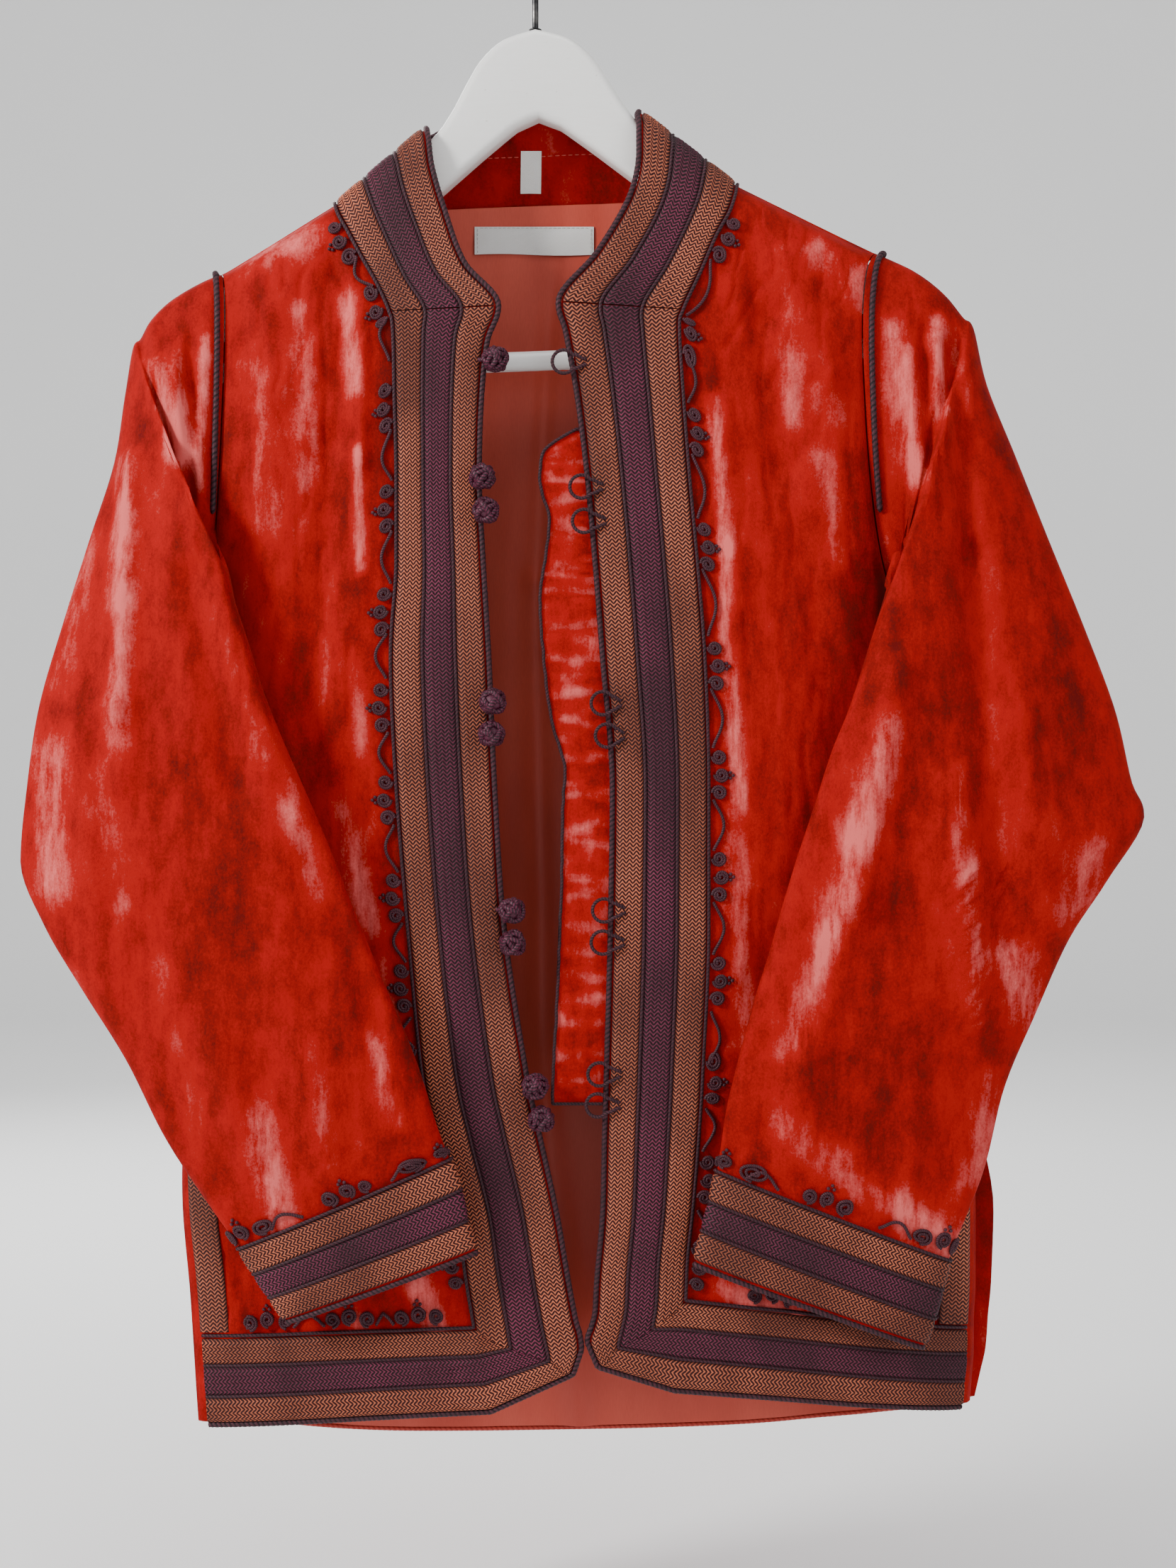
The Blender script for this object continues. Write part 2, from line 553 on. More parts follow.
def sleeve_surface(side, t, angle):
    """The velvet of a sleeve, with its long folds in front and behind, and crumples above the cuff."""
    table, folds = (RIGHT_SLEEVE, RIGHT_SLEEVE_FOLDS) if side == RIGHT else (LEFT_SLEEVE, LEFT_SLEEVE_FOLDS)
    point = sleeve_ring(table, t, angle)
    facing = math.sin(angle)
    shown = smooth((abs(facing) - 0.12) / 0.5) * smooth(t / 2.5) * smooth((CUFF_TOP - t) / 1.5)
    if facing > 0:
        height = fold_height(folds, point.x, point.z) + crumple(point, side * 5.3)
    else:
        mirrored = -0.8 * fold_height(folds, point.x + side * 9, point.z - 14)
        height = mirrored + crumple(point, side * 8.7)
    above_cuff = smooth((t - 16.6) / 1.2) * smooth((CUFF_TOP - t) / 0.35)
    place = Vector((point.x / 9, side * 11 + (0 if facing > 0 else 5), point.z / 7))
    above_cuff *= smooth((abs(facing) - 0.1) / 0.4)
    height = height * shown + CUFF_CRUMPLE * above_cuff * noise.noise(place)
    point.y -= height * (1 if facing > 0 else -1)
    return point

def back_surface(t, w):
    """The velvet of the back, crumpled as the fronts are."""
    point = back_point(t, w)
    inside = smooth((1 - abs(w)) / 0.15) * smooth((t - 0.5) / 3) * smooth((HEM - t) / 1.2)
    point.y += crumple(point, 13.7) * inside
    return point

def grid(rows, columns, place):
    """Points of a surface at every pair of levels and places across, as an array."""
    return np.array([[tuple(place(t, u)) for u in columns] for t in rows])

def grid_normals(points, toward, ring=None):
    """Unit normals of a grid, and 1 or -1 for whether they follow its own turn. ring is its closed axis."""
    across, down = (
        np.roll(points, -1, axis) - np.roll(points, 1, axis) if axis == ring
        else np.gradient(points, axis=axis)
        for axis in (1, 0)
    )
    normals = np.cross(across, down)
    normals /= np.maximum(np.linalg.norm(normals, axis=2, keepdims=True), 1e-9)
    if toward is None:
        facing = ((points - points.mean(axis=ring, keepdims=True)) * normals).sum(axis=2).mean()
    else:
        facing = (normals @ np.array(toward, float)).mean()
    turn = 1 if facing > 0 else -1
    return normals * turn, turn

def add_piece(name, points, faces, finish, corners_uv=None, nap=None, crease_angle=70):
    """A piece of the scene from points in millimetres. Points that no face uses are left out."""
    faces = [tuple(face) for face in faces]
    used = sorted({index for face in faces for index in face})
    renumber = {old: new for new, old in enumerate(used)}
    mesh = bpy.data.meshes.new(name)
    points = np.asarray(points, float)[used] * MM
    mesh.from_pydata(points.tolist(), [], [[renumber[i] for i in face] for face in faces])
    if corners_uv is not None:
        layer = mesh.uv_layers.new(name="weave")
        layer.data.foreach_set("uv", np.asarray(corners_uv, np.float32).ravel())
    if nap is not None:
        values = mesh.attributes.new("nap", "FLOAT", "POINT")
        values.data.foreach_set("value", np.asarray(nap, np.float32)[used])
    mesh.validate()
    mesh.shade_smooth()
    mesh.set_sharp_from_angle(angle=math.radians(crease_angle))
    mesh.materials.append(finish)
    obj = bpy.data.objects.new(name, mesh)
    bpy.context.scene.collection.objects.link(obj)
    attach(obj, "root")
    return obj

def cloth(name, points, wall, finish, toward=None, cells=None, around=False, nap=None):
    """A closed thin sheet of cloth: the grid is its outer face, and the wall lies behind."""
    rows, columns = points.shape[:2]
    normals, turn = grid_normals(points, toward, 1 if around else None)
    spans = columns if around else columns - 1
    kept = np.ones((rows - 1, spans), bool) if cells is None else cells
    r, c = np.nonzero(kept)
    n = (c + 1) % columns
    quads = np.stack([r * columns + c, r * columns + n, (r + 1) * columns + n, (r + 1) * columns + c], 1)
    behind = rows * columns
    faces = [quads[:, ::turn], quads[:, ::-turn] + behind]
    padded = np.zeros((rows + 1, spans + 2), bool)
    padded[1:-1, 1:-1] = kept
    if around:
        padded[1:-1, 0], padded[1:-1, -1] = kept[:, -1], kept[:, 0]
    beside = ((0, -1, 0), (1, 0, 1), (2, 1, 0), (3, 0, -1))
    for corner, down, over in beside:
        open_edge = ~padded[r + 1 + down, c + 1 + over]
        p, q = quads[open_edge, corner], quads[open_edge, (corner + 1) % 4]
        faces.append(np.stack([q, p, p + behind, q + behind], 1)[:, ::turn])
    both = np.concatenate([points.reshape(-1, 3), (points - normals * wall).reshape(-1, 3)])
    heights = None if nap is None else np.concatenate([nap.ravel(), nap.ravel() * 0.3])
    return add_piece(name, both, np.concatenate(faces).tolist(), finish, nap=heights)

def spaced(path, step, closed=False):
    """A path's points again, evenly spaced."""
    path = np.asarray(path, float)
    if closed:
        path = np.vstack([path, path[:1]])
    lengths = np.concatenate([[0], np.cumsum(np.linalg.norm(np.diff(path, axis=0), axis=1))])
    count = max(int(round(lengths[-1] / step)), 3)
    places = np.linspace(0, lengths[-1], count + 1)
    if closed:
        places = places[:-1]
    return np.stack([np.interp(places, lengths, path[:, k]) for k in range(3)], 1)

class Cords:
    """Cords gathered into one piece: twisted plies stand out on each where a lay is given."""

    def __init__(self):
        self.points, self.faces, self.corners, self.count = [], [], [], 0

    def add(self, path, radius, sides=8, step=0.8, lay=None, plies=2, depth=0.26, closed=False, taper=0):
        path = spaced(path, step, closed)
        count = len(path)
        if closed:
            ahead, before = np.roll(path, -1, 0), np.roll(path, 1, 0)
        else:
            ahead, before = np.vstack([path[1:], path[-1:]]), np.vstack([path[:1], path[:-1]])
        tangents = ahead - before
        tangents /= np.maximum(np.linalg.norm(tangents, axis=1, keepdims=True), 1e-9)
        up = np.array((0.0, -1.0, 0.0)) if abs(tangents[0][1]) < 0.9 else np.array((0.0, 0.0, 1.0))
        ups = []
        for tangent in tangents:
            up = up - tangent * up.dot(tangent)
            up = up / max(np.linalg.norm(up), 1e-9)
            ups.append(up)
        ups = np.array(ups)
        sideways = np.cross(tangents, ups)
        angles = math.tau * np.arange(sides) / sides
        turns = np.arange(count) * step / (lay or 1e9)
        if closed and lay:
            turns = np.arange(count) * max(round(count * step / lay), 1) / count
        size = np.full((count, sides), float(radius))
        if lay:
            wave = np.abs(np.cos(plies / 2 * (angles[None, :] - math.tau * turns[:, None])))
            size *= 1 - depth + depth * wave
        if taper:
            place = np.minimum(np.arange(count), np.arange(count)[::-1]) * step
            size *= np.sqrt(np.clip(place / taper, 0.05, 1))[:, None]
        rings = path[:, None] + size[:, :, None] * (
            np.cos(angles)[None, :, None] * ups[:, None] + np.sin(angles)[None, :, None] * sideways[:, None]
        )
        base = self.count
        links = count if closed else count - 1
        for i in range(links):
            j = (i + 1) % count
            for k in range(sides):
                n = (k + 1) % sides
                here, there = base + i * sides, base + j * sides
                self.faces.append([here + k, here + n, there + n, there + k])
                u0, u1 = k / sides, (k + 1) / sides
                v0, v1 = turns[i], turns[i] + step / (lay or 5)
                self.corners += [(u0, v0), (u1, v0), (u1, v1), (u0, v1)]
        if not closed:
            for ring, order in ((0, -1), (count - 1, 1)):
                self.faces.append([base + ring * sides + k for k in range(sides)][::order])
                self.corners += [(0.5, turns[ring])] * sides
        self.points.append(rings.reshape(-1, 3))
        self.count += count * sides

    def ball(self, centre, radius):
        """A small round knot with a flattened back."""
        centre = np.array(centre, float)
        rings, sides = 5, 8
        points = [centre + (0, 0, radius)]
        for i in range(1, rings):
            a = math.pi * i / rings
            for k in range(sides):
                b = math.tau * k / sides
                offset = (math.sin(a) * math.cos(b), math.sin(a) * math.sin(b), math.cos(a))
                points.append(centre + radius * np.array(offset))
        points.append(centre - (0, 0, radius))
        base, last = self.count, 1 + (rings - 1) * sides
        for k in range(sides):
            n = (k + 1) % sides
            self.faces.append([base, base + 1 + k, base + 1 + n])
            self.corners += [(0.2, 0.1)] * 3
            for i in range(rings - 2):
                row, following = base + 1 + i * sides, base + 1 + (i + 1) * sides
                self.faces.append([row + k, following + k, following + n, row + n])
                self.corners += [(0.2, 0.1)] * 4
            row = base + 1 + (rings - 2) * sides
            self.faces.append([row + k, base + last, row + n])
            self.corners += [(0.2, 0.1)] * 3
        self.points.append(np.array(points))
        self.count += len(points)

    def piece(self, name, finish, crease_angle=80):
        points = np.concatenate(self.points)
        return add_piece(name, points, self.faces, finish, self.corners, crease_angle=crease_angle)

BRAID_COLUMNS = 16
BRAID_WAVES = 4
BRAID_PITCH = 2.1
BRAID_SLANT = 0.95
BRAID_RELIEF = 0.28
COLUMN_RELIEF = 0.14

class Braids:
    """Braid strips gathered into one piece, each with chevron rows of thread over its width."""

    def __init__(self):
        self.points, self.faces, self.corners, self.count = [], [], [], 0

    def add(self, base, along, toward, lift, wall, around=False, turn=None):
        rows, columns = base.shape[:2]
        normals, found = grid_normals(base, toward, 0 if around else None)
        if turn and turn != found:
            normals = -normals
        turn = turn or found
        q = np.linspace(0, 1, columns)
        zigzag = np.abs((q * BRAID_WAVES) % 1 * 2 - 1)
        phase = along / BRAID_PITCH + BRAID_SLANT * zigzag[None, :]
        crown = 1 - np.abs(2 * q - 1) ** 5
        columns_relief = COLUMN_RELIEF * np.cos(math.tau * BRAID_WAVES * 2 * q)[None, :]
        relief = BRAID_RELIEF * np.sin(math.tau * phase) + columns_relief
        height = lift + wall * (0.55 + 0.45 * crown)[None, :] + relief * (0.3 + 0.7 * crown)[None, :]
        top = base + normals * height[:, :, None]
        low = base[:, [0, -1]] + normals[:, [0, -1]] * lift
        start, foot = self.count, self.count + rows * columns
        links = rows if around else rows - 1
        for i in range(links):
            j = (i + 1) % rows
            here, there = start + i * columns, start + j * columns
            v0 = phase[i]
            v1 = phase[i + 1] if i + 1 < rows else phase[i] + phase[1] - phase[0]
            for k in range(columns - 1):
                quad = [here + k, here + k + 1, there + k + 1, there + k]
                uv = [(q[k], v0[k]), (q[k + 1], v0[k + 1]), (q[k + 1], v1[k + 1]), (q[k], v1[k])]
                self.faces.append(quad[::turn])
                self.corners += uv[::turn]
            a, b, c, d = foot + 2 * i, foot + 2 * i + 1, foot + 2 * j + 1, foot + 2 * j
            for quad, m in (
                ([d, c, b, a], 0), ([a, here, there, d], 0),
                ([here + columns - 1, b, c, there + columns - 1], columns - 1),
            ):
                self.faces.append(quad[::turn])
                self.corners += [(q[m], v0[m])] * 4
        if not around:
            for i, order in ((0, -1), (rows - 1, 1)):
                rim = [foot + 2 * i] + [start + i * columns + k for k in range(columns)] + [foot + 2 * i + 1]
                self.faces.append(rim[:: order * turn])
                self.corners += [(0.0, 0.0)] * len(rim)
        self.points += [top.reshape(-1, 3), low.reshape(-1, 3)]
        self.count += rows * columns + rows * 2
        return turn

    def piece(self, name, finish):
        return add_piece(name, np.concatenate(self.points), self.faces, finish, self.corners, crease_angle=80)

class Nodes:
    """A short way to write a material's nodes."""

    def __init__(self, name):
        self.material = bpy.data.materials.new(name)
        self.material.use_nodes = True
        self.tree = self.material.node_tree
        self.shader = self.tree.nodes["Principled BSDF"]

    def node(self, kind, **settings):
        made = self.tree.nodes.new(kind)
        for key, value in settings.items():
            setattr(made, key, value)
        return made

    def put(self, value, socket):
        if isinstance(value, bpy.types.NodeSocket):
            self.tree.links.new(value, socket)
        elif value is not None:
            socket.default_value = value

    def math(self, operation, a, b=None, c=None):
        made = self.node("ShaderNodeMath", operation=operation)
        for value, socket in zip((a, b, c), made.inputs):
            self.put(value, socket)
        return made.outputs[0]

    def place(self, stretch=(1, 1, 1)):
        """Places on the object in metres, stretched along its axes."""
        coordinates = self.node("ShaderNodeTexCoord").outputs["Object"]
        mapping = self.node("ShaderNodeMapping")
        self.put(coordinates, mapping.inputs["Vector"])
        self.put(stretch, mapping.inputs["Scale"])
        return mapping.outputs[0]

    def place_axis(self, axis):
        """Places along one axis of the object, in metres."""
        split = self.node("ShaderNodeSeparateXYZ")
        self.put(self.place(), split.inputs[0])
        return split.outputs[axis]

    def noise(self, scale, stretch=(1, 1, 1), detail=3.0, roughness=0.55):
        made = self.node("ShaderNodeTexNoise")
        self.put(self.place(stretch), made.inputs["Vector"])
        self.put(scale, made.inputs["Scale"])
        self.put(detail, made.inputs["Detail"])
        self.put(roughness, made.inputs["Roughness"])
        return made.outputs[0]

    def ramp(self, factor, *stops):
        made = self.node("ShaderNodeValToRGB")
        elements = made.color_ramp.elements
        while len(elements) < len(stops):
            elements.new(0.5)
        for element, (position, colour) in zip(elements, stops):
            element.position = position
            element.color = (*colour, 1)
        self.put(factor, made.inputs["Fac"])
        return made.outputs["Color"]

    def mix(self, factor, a, b, blend="MIX"):
        made = self.node("ShaderNodeMix", data_type="RGBA", blend_type=blend)
        self.put(factor, made.inputs["Factor"])
        for value, name in ((a, 6), (b, 7)):
            self.put((*value, 1) if isinstance(value, tuple) else value, made.inputs[name])
        return made.outputs[2]

    def levels(self, value, low, high, to_low=0.0, to_high=1.0):
        made = self.node("ShaderNodeMapRange")
        for given, name in (
            (value, "Value"), (low, "From Min"), (high, "From Max"), (to_low, "To Min"), (to_high, "To Max"),
        ):
            self.put(given, made.inputs[name])
        return made.outputs[0]

    def bump(self, height, strength, distance):
        made = self.node("ShaderNodeBump")
        self.put(strength, made.inputs["Strength"])
        self.put(distance, made.inputs["Distance"])
        self.put(height, made.inputs["Height"])
        self.put(made.outputs[0], self.shader.inputs["Normal"])

    def weave(self):
        """The piece's own weave coordinates: across it and along it."""
        split = self.node("ShaderNodeSeparateXYZ")
        self.put(self.node("ShaderNodeUVMap", uv_map="weave").outputs[0], split.inputs[0])
        return split.outputs[0], split.outputs[1]

    def finish(self, **sockets):
        for name, value in sockets.items():
            self.put(value, self.shader.inputs[name.replace("_", " ")])
        return self.material

VELVET_DEEP, VELVET_RED, VELVET_PINK = (0.115, 0.0008, 0.0008), (0.36, 0.0035, 0.0022), (0.70, 0.125, 0.115)

def velvet():
    """Crushed velvet: where its pile lies over it turns pale pink, in streaks and fine speckles."""
    n = Nodes("crushed_velvet")
    streaks = n.noise(1, (44, 44, 9), 4.0, 0.62)
    fine = n.noise(1, (150, 150, 24), 5.0, 0.68)
    blotches = n.noise(1, (95, 95, 60), 3.0, 0.6)
    speckle = n.noise(1, (900, 900, 700), 2.0, 0.7)
    laid = n.node("ShaderNodeAttribute", attribute_name="nap", attribute_type="GEOMETRY").outputs["Fac"]
    lift = n.math("MULTIPLY", n.math("SUBTRACT", streaks, 0.5), 1.25)
    laid = n.math("MULTIPLY", laid, n.levels(fine, 0.32, 0.66, 0.30, 1.15))
    lift = n.math("ADD", lift, n.math("MULTIPLY", n.math("SUBTRACT", blotches, 0.5), 0.75))
    lift = n.math("ADD", lift, n.math("MULTIPLY", n.math("SUBTRACT", speckle, 0.5), 0.55))
    amount = n.levels(n.math("ADD", lift, laid), 0.26, 0.86)
    shade = n.levels(n.math("ADD", lift, laid), -0.32, 0.16)
    red = n.mix(shade, VELVET_DEEP, VELVET_RED)
    colour = n.mix(amount, red, VELVET_PINK)
    pile = n.noise(1, (2600, 2600, 1900), 2.0, 0.7)
    n.bump(n.math("ADD", n.math("MULTIPLY", blotches, 0.5), n.math("MULTIPLY", pile, 0.5)), 0.35, 0.0012)
    return n.finish(
        Base_Color=colour, Roughness=0.78, Sheen_Weight=0.05, Sheen_Roughness=0.3,
        Sheen_Tint=(1.0, 0.30, 0.27, 1), Specular_IOR_Level=0.12,
    )

def braid(name, dark, middle, light):
    """Chevron rows of light thread over dark, worked out from the strip's own weave coordinates."""
    n = Nodes(name)
    across, along = n.weave()
    row = n.math("SINE", n.math("MULTIPLY", along, math.tau))
    columns = n.math("COSINE", n.math("MULTIPLY", across, math.tau * BRAID_WAVES * 2))
    edge = n.math("ABSOLUTE", n.math("SUBTRACT", n.math("MULTIPLY", across, 2.0), 1.0))
    edge = n.levels(edge, 0.88, 0.99)
    fibres = n.noise(1, (1300, 1300, 1300), 2.0)
    age = n.noise(1, (16, 16, 9), 3.0)
    fuzz = n.math("MULTIPLY", n.math("SUBTRACT", fibres, 0.5), 0.5)
    shown = n.math("ADD", n.levels(row, -0.75, 0.85), fuzz)
    shown = n.math("ADD", shown, n.math("MULTIPLY", columns, 0.16))
    colour = n.ramp(shown, (0.24, dark), (0.55, middle), (0.95, light))
    colour = n.mix(n.math("MULTIPLY", edge, 0.8), colour, dark)
    colour = n.mix(n.levels(age, 0.38, 0.60, 0.60, 0.0), colour, dark)
    n.bump(n.math("ADD", n.math("MULTIPLY", row, 0.35), n.math("MULTIPLY", fibres, 0.5)), 0.5, 0.0006)
    return n.finish(
        Base_Color=colour, Roughness=n.levels(fibres, 0.2, 0.8, 0.5, 0.72), Sheen_Weight=0.03,
        Sheen_Roughness=0.4, Specular_IOR_Level=0.25,
    )

def twisted(name, dark, light, gloss=0.55):
    """A twisted cord: its plies are paler along their crowns, with fine fibres over them."""
    n = Nodes(name)
    across, along = n.weave()
    turned_along = n.math("MULTIPLY", n.math("SUBTRACT", across, along), math.tau)
    crown = n.math("ABSOLUTE", n.math("COSINE", turned_along))
    fibres = n.noise(1, (1500, 1500, 1500), 2.0)
    wear = n.noise(1, (120, 120, 120), 2.0)
    amount = n.math("MULTIPLY", n.levels(crown, 0.25, 1.0), n.levels(fibres, 0.25, 0.75, 0.35, 1.0))
    amount = n.math("MULTIPLY", amount, n.levels(wear, 0.3, 0.7, 0.6, 1.0))
    n.bump(fibres, 0.45, 0.0005)
    return n.finish(
        Base_Color=n.mix(amount, dark, light), Roughness=n.levels(crown, 0.0, 1.0, 0.8, gloss),
        Sheen_Weight=0.02, Sheen_Roughness=0.4, Specular_IOR_Level=0.35,
    )

def satin():
    """Smooth coral satin with a faint grain and soft wear."""
    n = Nodes("coral_satin")
    wide = n.noise(1, (14, 14, 5), 3.0)
    grain = n.noise(1, (1800, 1800, 260), 2.0)
    colour = n.ramp(
        wide, (0.30, (0.40, 0.040, 0.022)), (0.50, (0.52, 0.060, 0.034)), (0.72, (0.62, 0.090, 0.055)),
    )
    colour = n.mix(n.levels(grain, 0.3, 0.7, 0.0, 0.16), colour, (0.30, 0.028, 0.016))
    n.bump(grain, 0.12, 0.0004)
    return n.finish(
        Base_Color=colour, Roughness=n.levels(grain, 0.2, 0.8, 0.42, 0.54), Sheen_Weight=0.12,
        Sheen_Roughness=0.35, Specular_IOR_Level=0.4,
    )

def tape():
    """Bare white woven tape with a fine plain weave."""
    n = Nodes("woven_tape")
    wefts = n.math("SINE", n.math("MULTIPLY", n.place_axis(2), math.tau / 0.0009))
    warps = n.math("SINE", n.math("MULTIPLY", n.place_axis(0), math.tau / 0.0007))
    weave = n.math("MULTIPLY", wefts, warps)
    soil = n.noise(1, (160, 160, 160), 3.0)
    colour = n.mix(n.levels(weave, -1.0, 1.0, 0.0, 0.10), (0.87, 0.87, 0.85), (0.66, 0.66, 0.63))
    colour = n.mix(n.levels(soil, 0.4, 0.8, 0.0, 0.12), colour, (0.72, 0.69, 0.64))
    n.bump(weave, 0.4, 0.0003)
    return n.finish(Base_Color=colour, Roughness=0.7, Sheen_Weight=0.1, Specular_IOR_Level=0.3)

def painted():
    """White satin paint over wood, with faint brush marks along the hanger and a few rubbed places."""
    n = Nodes("white_paint")
    brush = n.noise(1, (60, 500, 420), 3.0)
    rubbed = n.noise(1, (45, 45, 45), 4.0, 0.7)
    specks = n.noise(1, (420, 420, 420), 2.0, 0.7)
    colour = n.mix(n.levels(brush, 0.3, 0.7, 0.0, 0.10), (0.90, 0.89, 0.87), (0.74, 0.72, 0.69))
    colour = n.mix(n.levels(rubbed, 0.60, 0.80, 0.0, 0.22), colour, (0.66, 0.60, 0.55))
    colour = n.mix(n.levels(specks, 0.72, 0.80, 0.0, 0.5), colour, (0.40, 0.36, 0.32))
    n.bump(brush, 0.16, 0.0008)
    return n.finish(
        Base_Color=colour, Roughness=n.levels(brush, 0.3, 0.7, 0.30, 0.42), Specular_IOR_Level=0.5,
        Coat_Weight=0.12, Coat_Roughness=0.25,
    )

def dark_wire():
    """Dark steel wire, brushed along its length and a little worn."""
    n = Nodes("dark_wire")
    brush = n.noise(1, (900, 900, 120), 3.0)
    worn = n.noise(1, (140, 140, 140), 3.0)
    colour = n.mix(n.levels(worn, 0.45, 0.75), (0.045, 0.045, 0.047), (0.16, 0.155, 0.15))
    n.bump(brush, 0.2, 0.0003)
    return n.finish(Base_Color=colour, Metallic=1.0, Roughness=n.levels(brush, 0.3, 0.7, 0.28, 0.5))

def backdrop():
    """A pale studio floor that curves up all round, barely mottled."""
    n = Nodes("studio_floor")
    mottle = n.noise(1, (1.5, 1.5, 1.5), 2.0)
    colour = n.mix(mottle, (0.86, 0.86, 0.86), (0.90, 0.90, 0.90))
    return n.finish(Base_Color=colour, Roughness=0.9, Specular_IOR_Level=0.1)

def side_name(side):
    return "right" if side == RIGHT else "left"

def nap_of(points, patches):
    """How far the pile is laid over at each point, from its patches: x, z, x, z, half width, strength."""
    x, z = points[..., 0], points[..., 2]
    total = np.zeros(x.shape)
    for x0, z0, x1, z1, width, strength in patches:
        along = ((x - x0) * (x1 - x0) + (z - z0) * (z1 - z0)) / ((x1 - x0) ** 2 + (z1 - z0) ** 2)
        held = np.clip(along, 0, 1)
        across = np.hypot(x - lerp(x0, x1, held), z - lerp(z0, z1, held))
        total += strength * np.exp(-((across / width) ** 2))
    return total

@lru_cache(maxsize=None)
def edge_and_line(side, t):
    """The free edge and the bands' inner line at a level, as arrays."""
    return np.array(collar_point(side, t, -1)), np.array(collar_point(side, t, 0))

def band_place(side, t, u):
    """A point of the banded edge, or of the hem where u is above 0."""
    if u > 0:
        return np.array(front_point(side, t, u))
    edge, line = edge_and_line(side, round(t, 4))
    return line + (edge - line) * -u

def even_levels(place, low, high, step):
    """Levels between two ends that are evenly spaced along a line of the surface."""
    fine = np.linspace(low, high, 260)
    points = np.array([place(t) for t in fine])
    lengths = np.concatenate([[0], np.cumsum(np.linalg.norm(np.diff(points, axis=0), axis=1))])
    count = max(int(round(lengths[-1] / step)), 2)
    return np.interp(np.linspace(0, lengths[-1], count + 1), lengths, fine)

def column_lengths(points, turned_rows):
    """Length along a strip for each of its points: the rows at its mitred end keep their own lengths."""
    steps = np.linalg.norm(np.diff(points, axis=0), axis=2)
    middle = steps[:, steps.shape[1] // 2][:, None]
    steps = np.where(turned_rows[1:, None], steps, middle)
    return np.vstack([np.zeros((1, points.shape[1])), np.cumsum(steps, axis=0)])

ROW_STEP = 0.82
MITRE_ROWS = 1.6
FRONT_MITRE, HEM_MITRE = 62, 34
HEM_BEGIN, BAND_END = 0.12, 0.96

def strip_columns(first, last):
    return np.linspace(first, last, BRAID_COLUMNS + 1)

def band_legs(side, first, last):
    """A band's three legs: round the collar, down the front and along the hem, each with its mitre."""
    columns = strip_columns(first, last)
    middle = (first + last) / 2
    tip = float(COLLAR_END)
    collar_levels = even_levels(lambda t: band_place(side, t, middle), -5, tip - 0.02, ROW_STEP)
    collar = np.array([[band_place(side, t, u) for u in columns] for t in collar_levels])
    turned = np.zeros(len(collar_levels), bool)
    yield collar, column_lengths(collar, turned)
    corner = HEM_TOP - MITRE_ROWS
    levels = even_levels(lambda t: band_place(side, t, middle), tip + 0.02, corner, ROW_STEP)
    ends = [lerp(HEM_TOP, HEM, -u) - 0.01 for u in columns]
    tail = np.linspace(0, 1, int(FRONT_MITRE / ROW_STEP))[1:]
    rows = [[band_place(side, t, u) for u in columns] for t in levels]
    rows += [[band_place(side, lerp(corner, end, f), u) for u, end in zip(columns, ends)] for f in tail]
    front = np.array(rows)
    turned = np.arange(len(rows)) >= len(levels)
    yield front, column_lengths(front, turned)
    hem_levels = [lerp(HEM_TOP, HEM, -u) for u in columns]
    level = hem_levels[BRAID_COLUMNS // 2]
    along = even_levels(lambda u: np.array(front_point(side, level, u)), HEM_BEGIN, BAND_END, ROW_STEP)
    head = np.linspace(0, 1, int(HEM_MITRE / ROW_STEP))[:-1]
    rows = [
        [band_place(side, t, lerp(u + 0.004, HEM_BEGIN, f)) for t, u in zip(hem_levels, columns)]
        for f in head
    ]
    rows += [[band_place(side, t, u) for t in hem_levels] for u in along]
    hem = np.array(rows)[::-1]
    turned = np.arange(len(rows)) >= len(along)
    yield hem, column_lengths(hem, turned)

def make_band(side, name, finish, first, last):
    collar, front, hem = band_legs(side, first, last)
    braids = Braids()
    turn = braids.add(*front, (0, -1, 0), BAND_LIFT - 0.1, BAND_WALL)
    braids.add(*collar, (0, -1, 0), BAND_LIFT - 0.1, BAND_WALL, turn=turn)
    braids.add(*hem, (0, -1, 0), BAND_LIFT - 0.1, BAND_WALL)
    return braids.piece(f"braid_{name}_{side_name(side)}", finish)

def surface_path(place, lift, toward=(0, -1, 0)):
    """Points along a surface line, moved out. place gives the line and the same line a little inward."""
    line, inward = place
    line, inward = np.array(line), np.array(inward)
    along = np.gradient(line, axis=0)
    normals = np.cross(along, inward - line)
    normals /= np.maximum(np.linalg.norm(normals, axis=1, keepdims=True), 1e-9)
    signs = np.sign(normals @ np.array(toward, float))
    for k in range(1, len(signs)):
        if normals[k] @ normals[k - 1] * signs[k] * signs[k - 1] < 0:
            signs[k] = -signs[k]
    return line + normals * signs[:, None] * lift

def lengthwise(side, u, shift=0.04):
    """The line of the banded edge at u from the centre back to the vent, and the line beside it."""
    corner = lerp(HEM_TOP, HEM, -u)
    levels = np.concatenate([np.linspace(-5, COLLAR_END, 180), np.linspace(COLLAR_END + 0.03, corner, 420)])
    inner = min(u + shift, 0)
    line = [band_place(side, t, u) for t in levels]
    beside = [band_place(side, t, inner if inner > u else u - shift) for t in levels]
    places = np.linspace(u + 0.01, BAND_END, 150)
    line += [band_place(side, corner, q) for q in places]
    beside += [band_place(side, corner - 0.2, q) for q in places]
    return line, beside

SEPARATORS = (-0.3425, -0.6825, -0.012)
SEPARATOR_RADIUS, SEPARATOR_LIFT = 1.05, 1.15

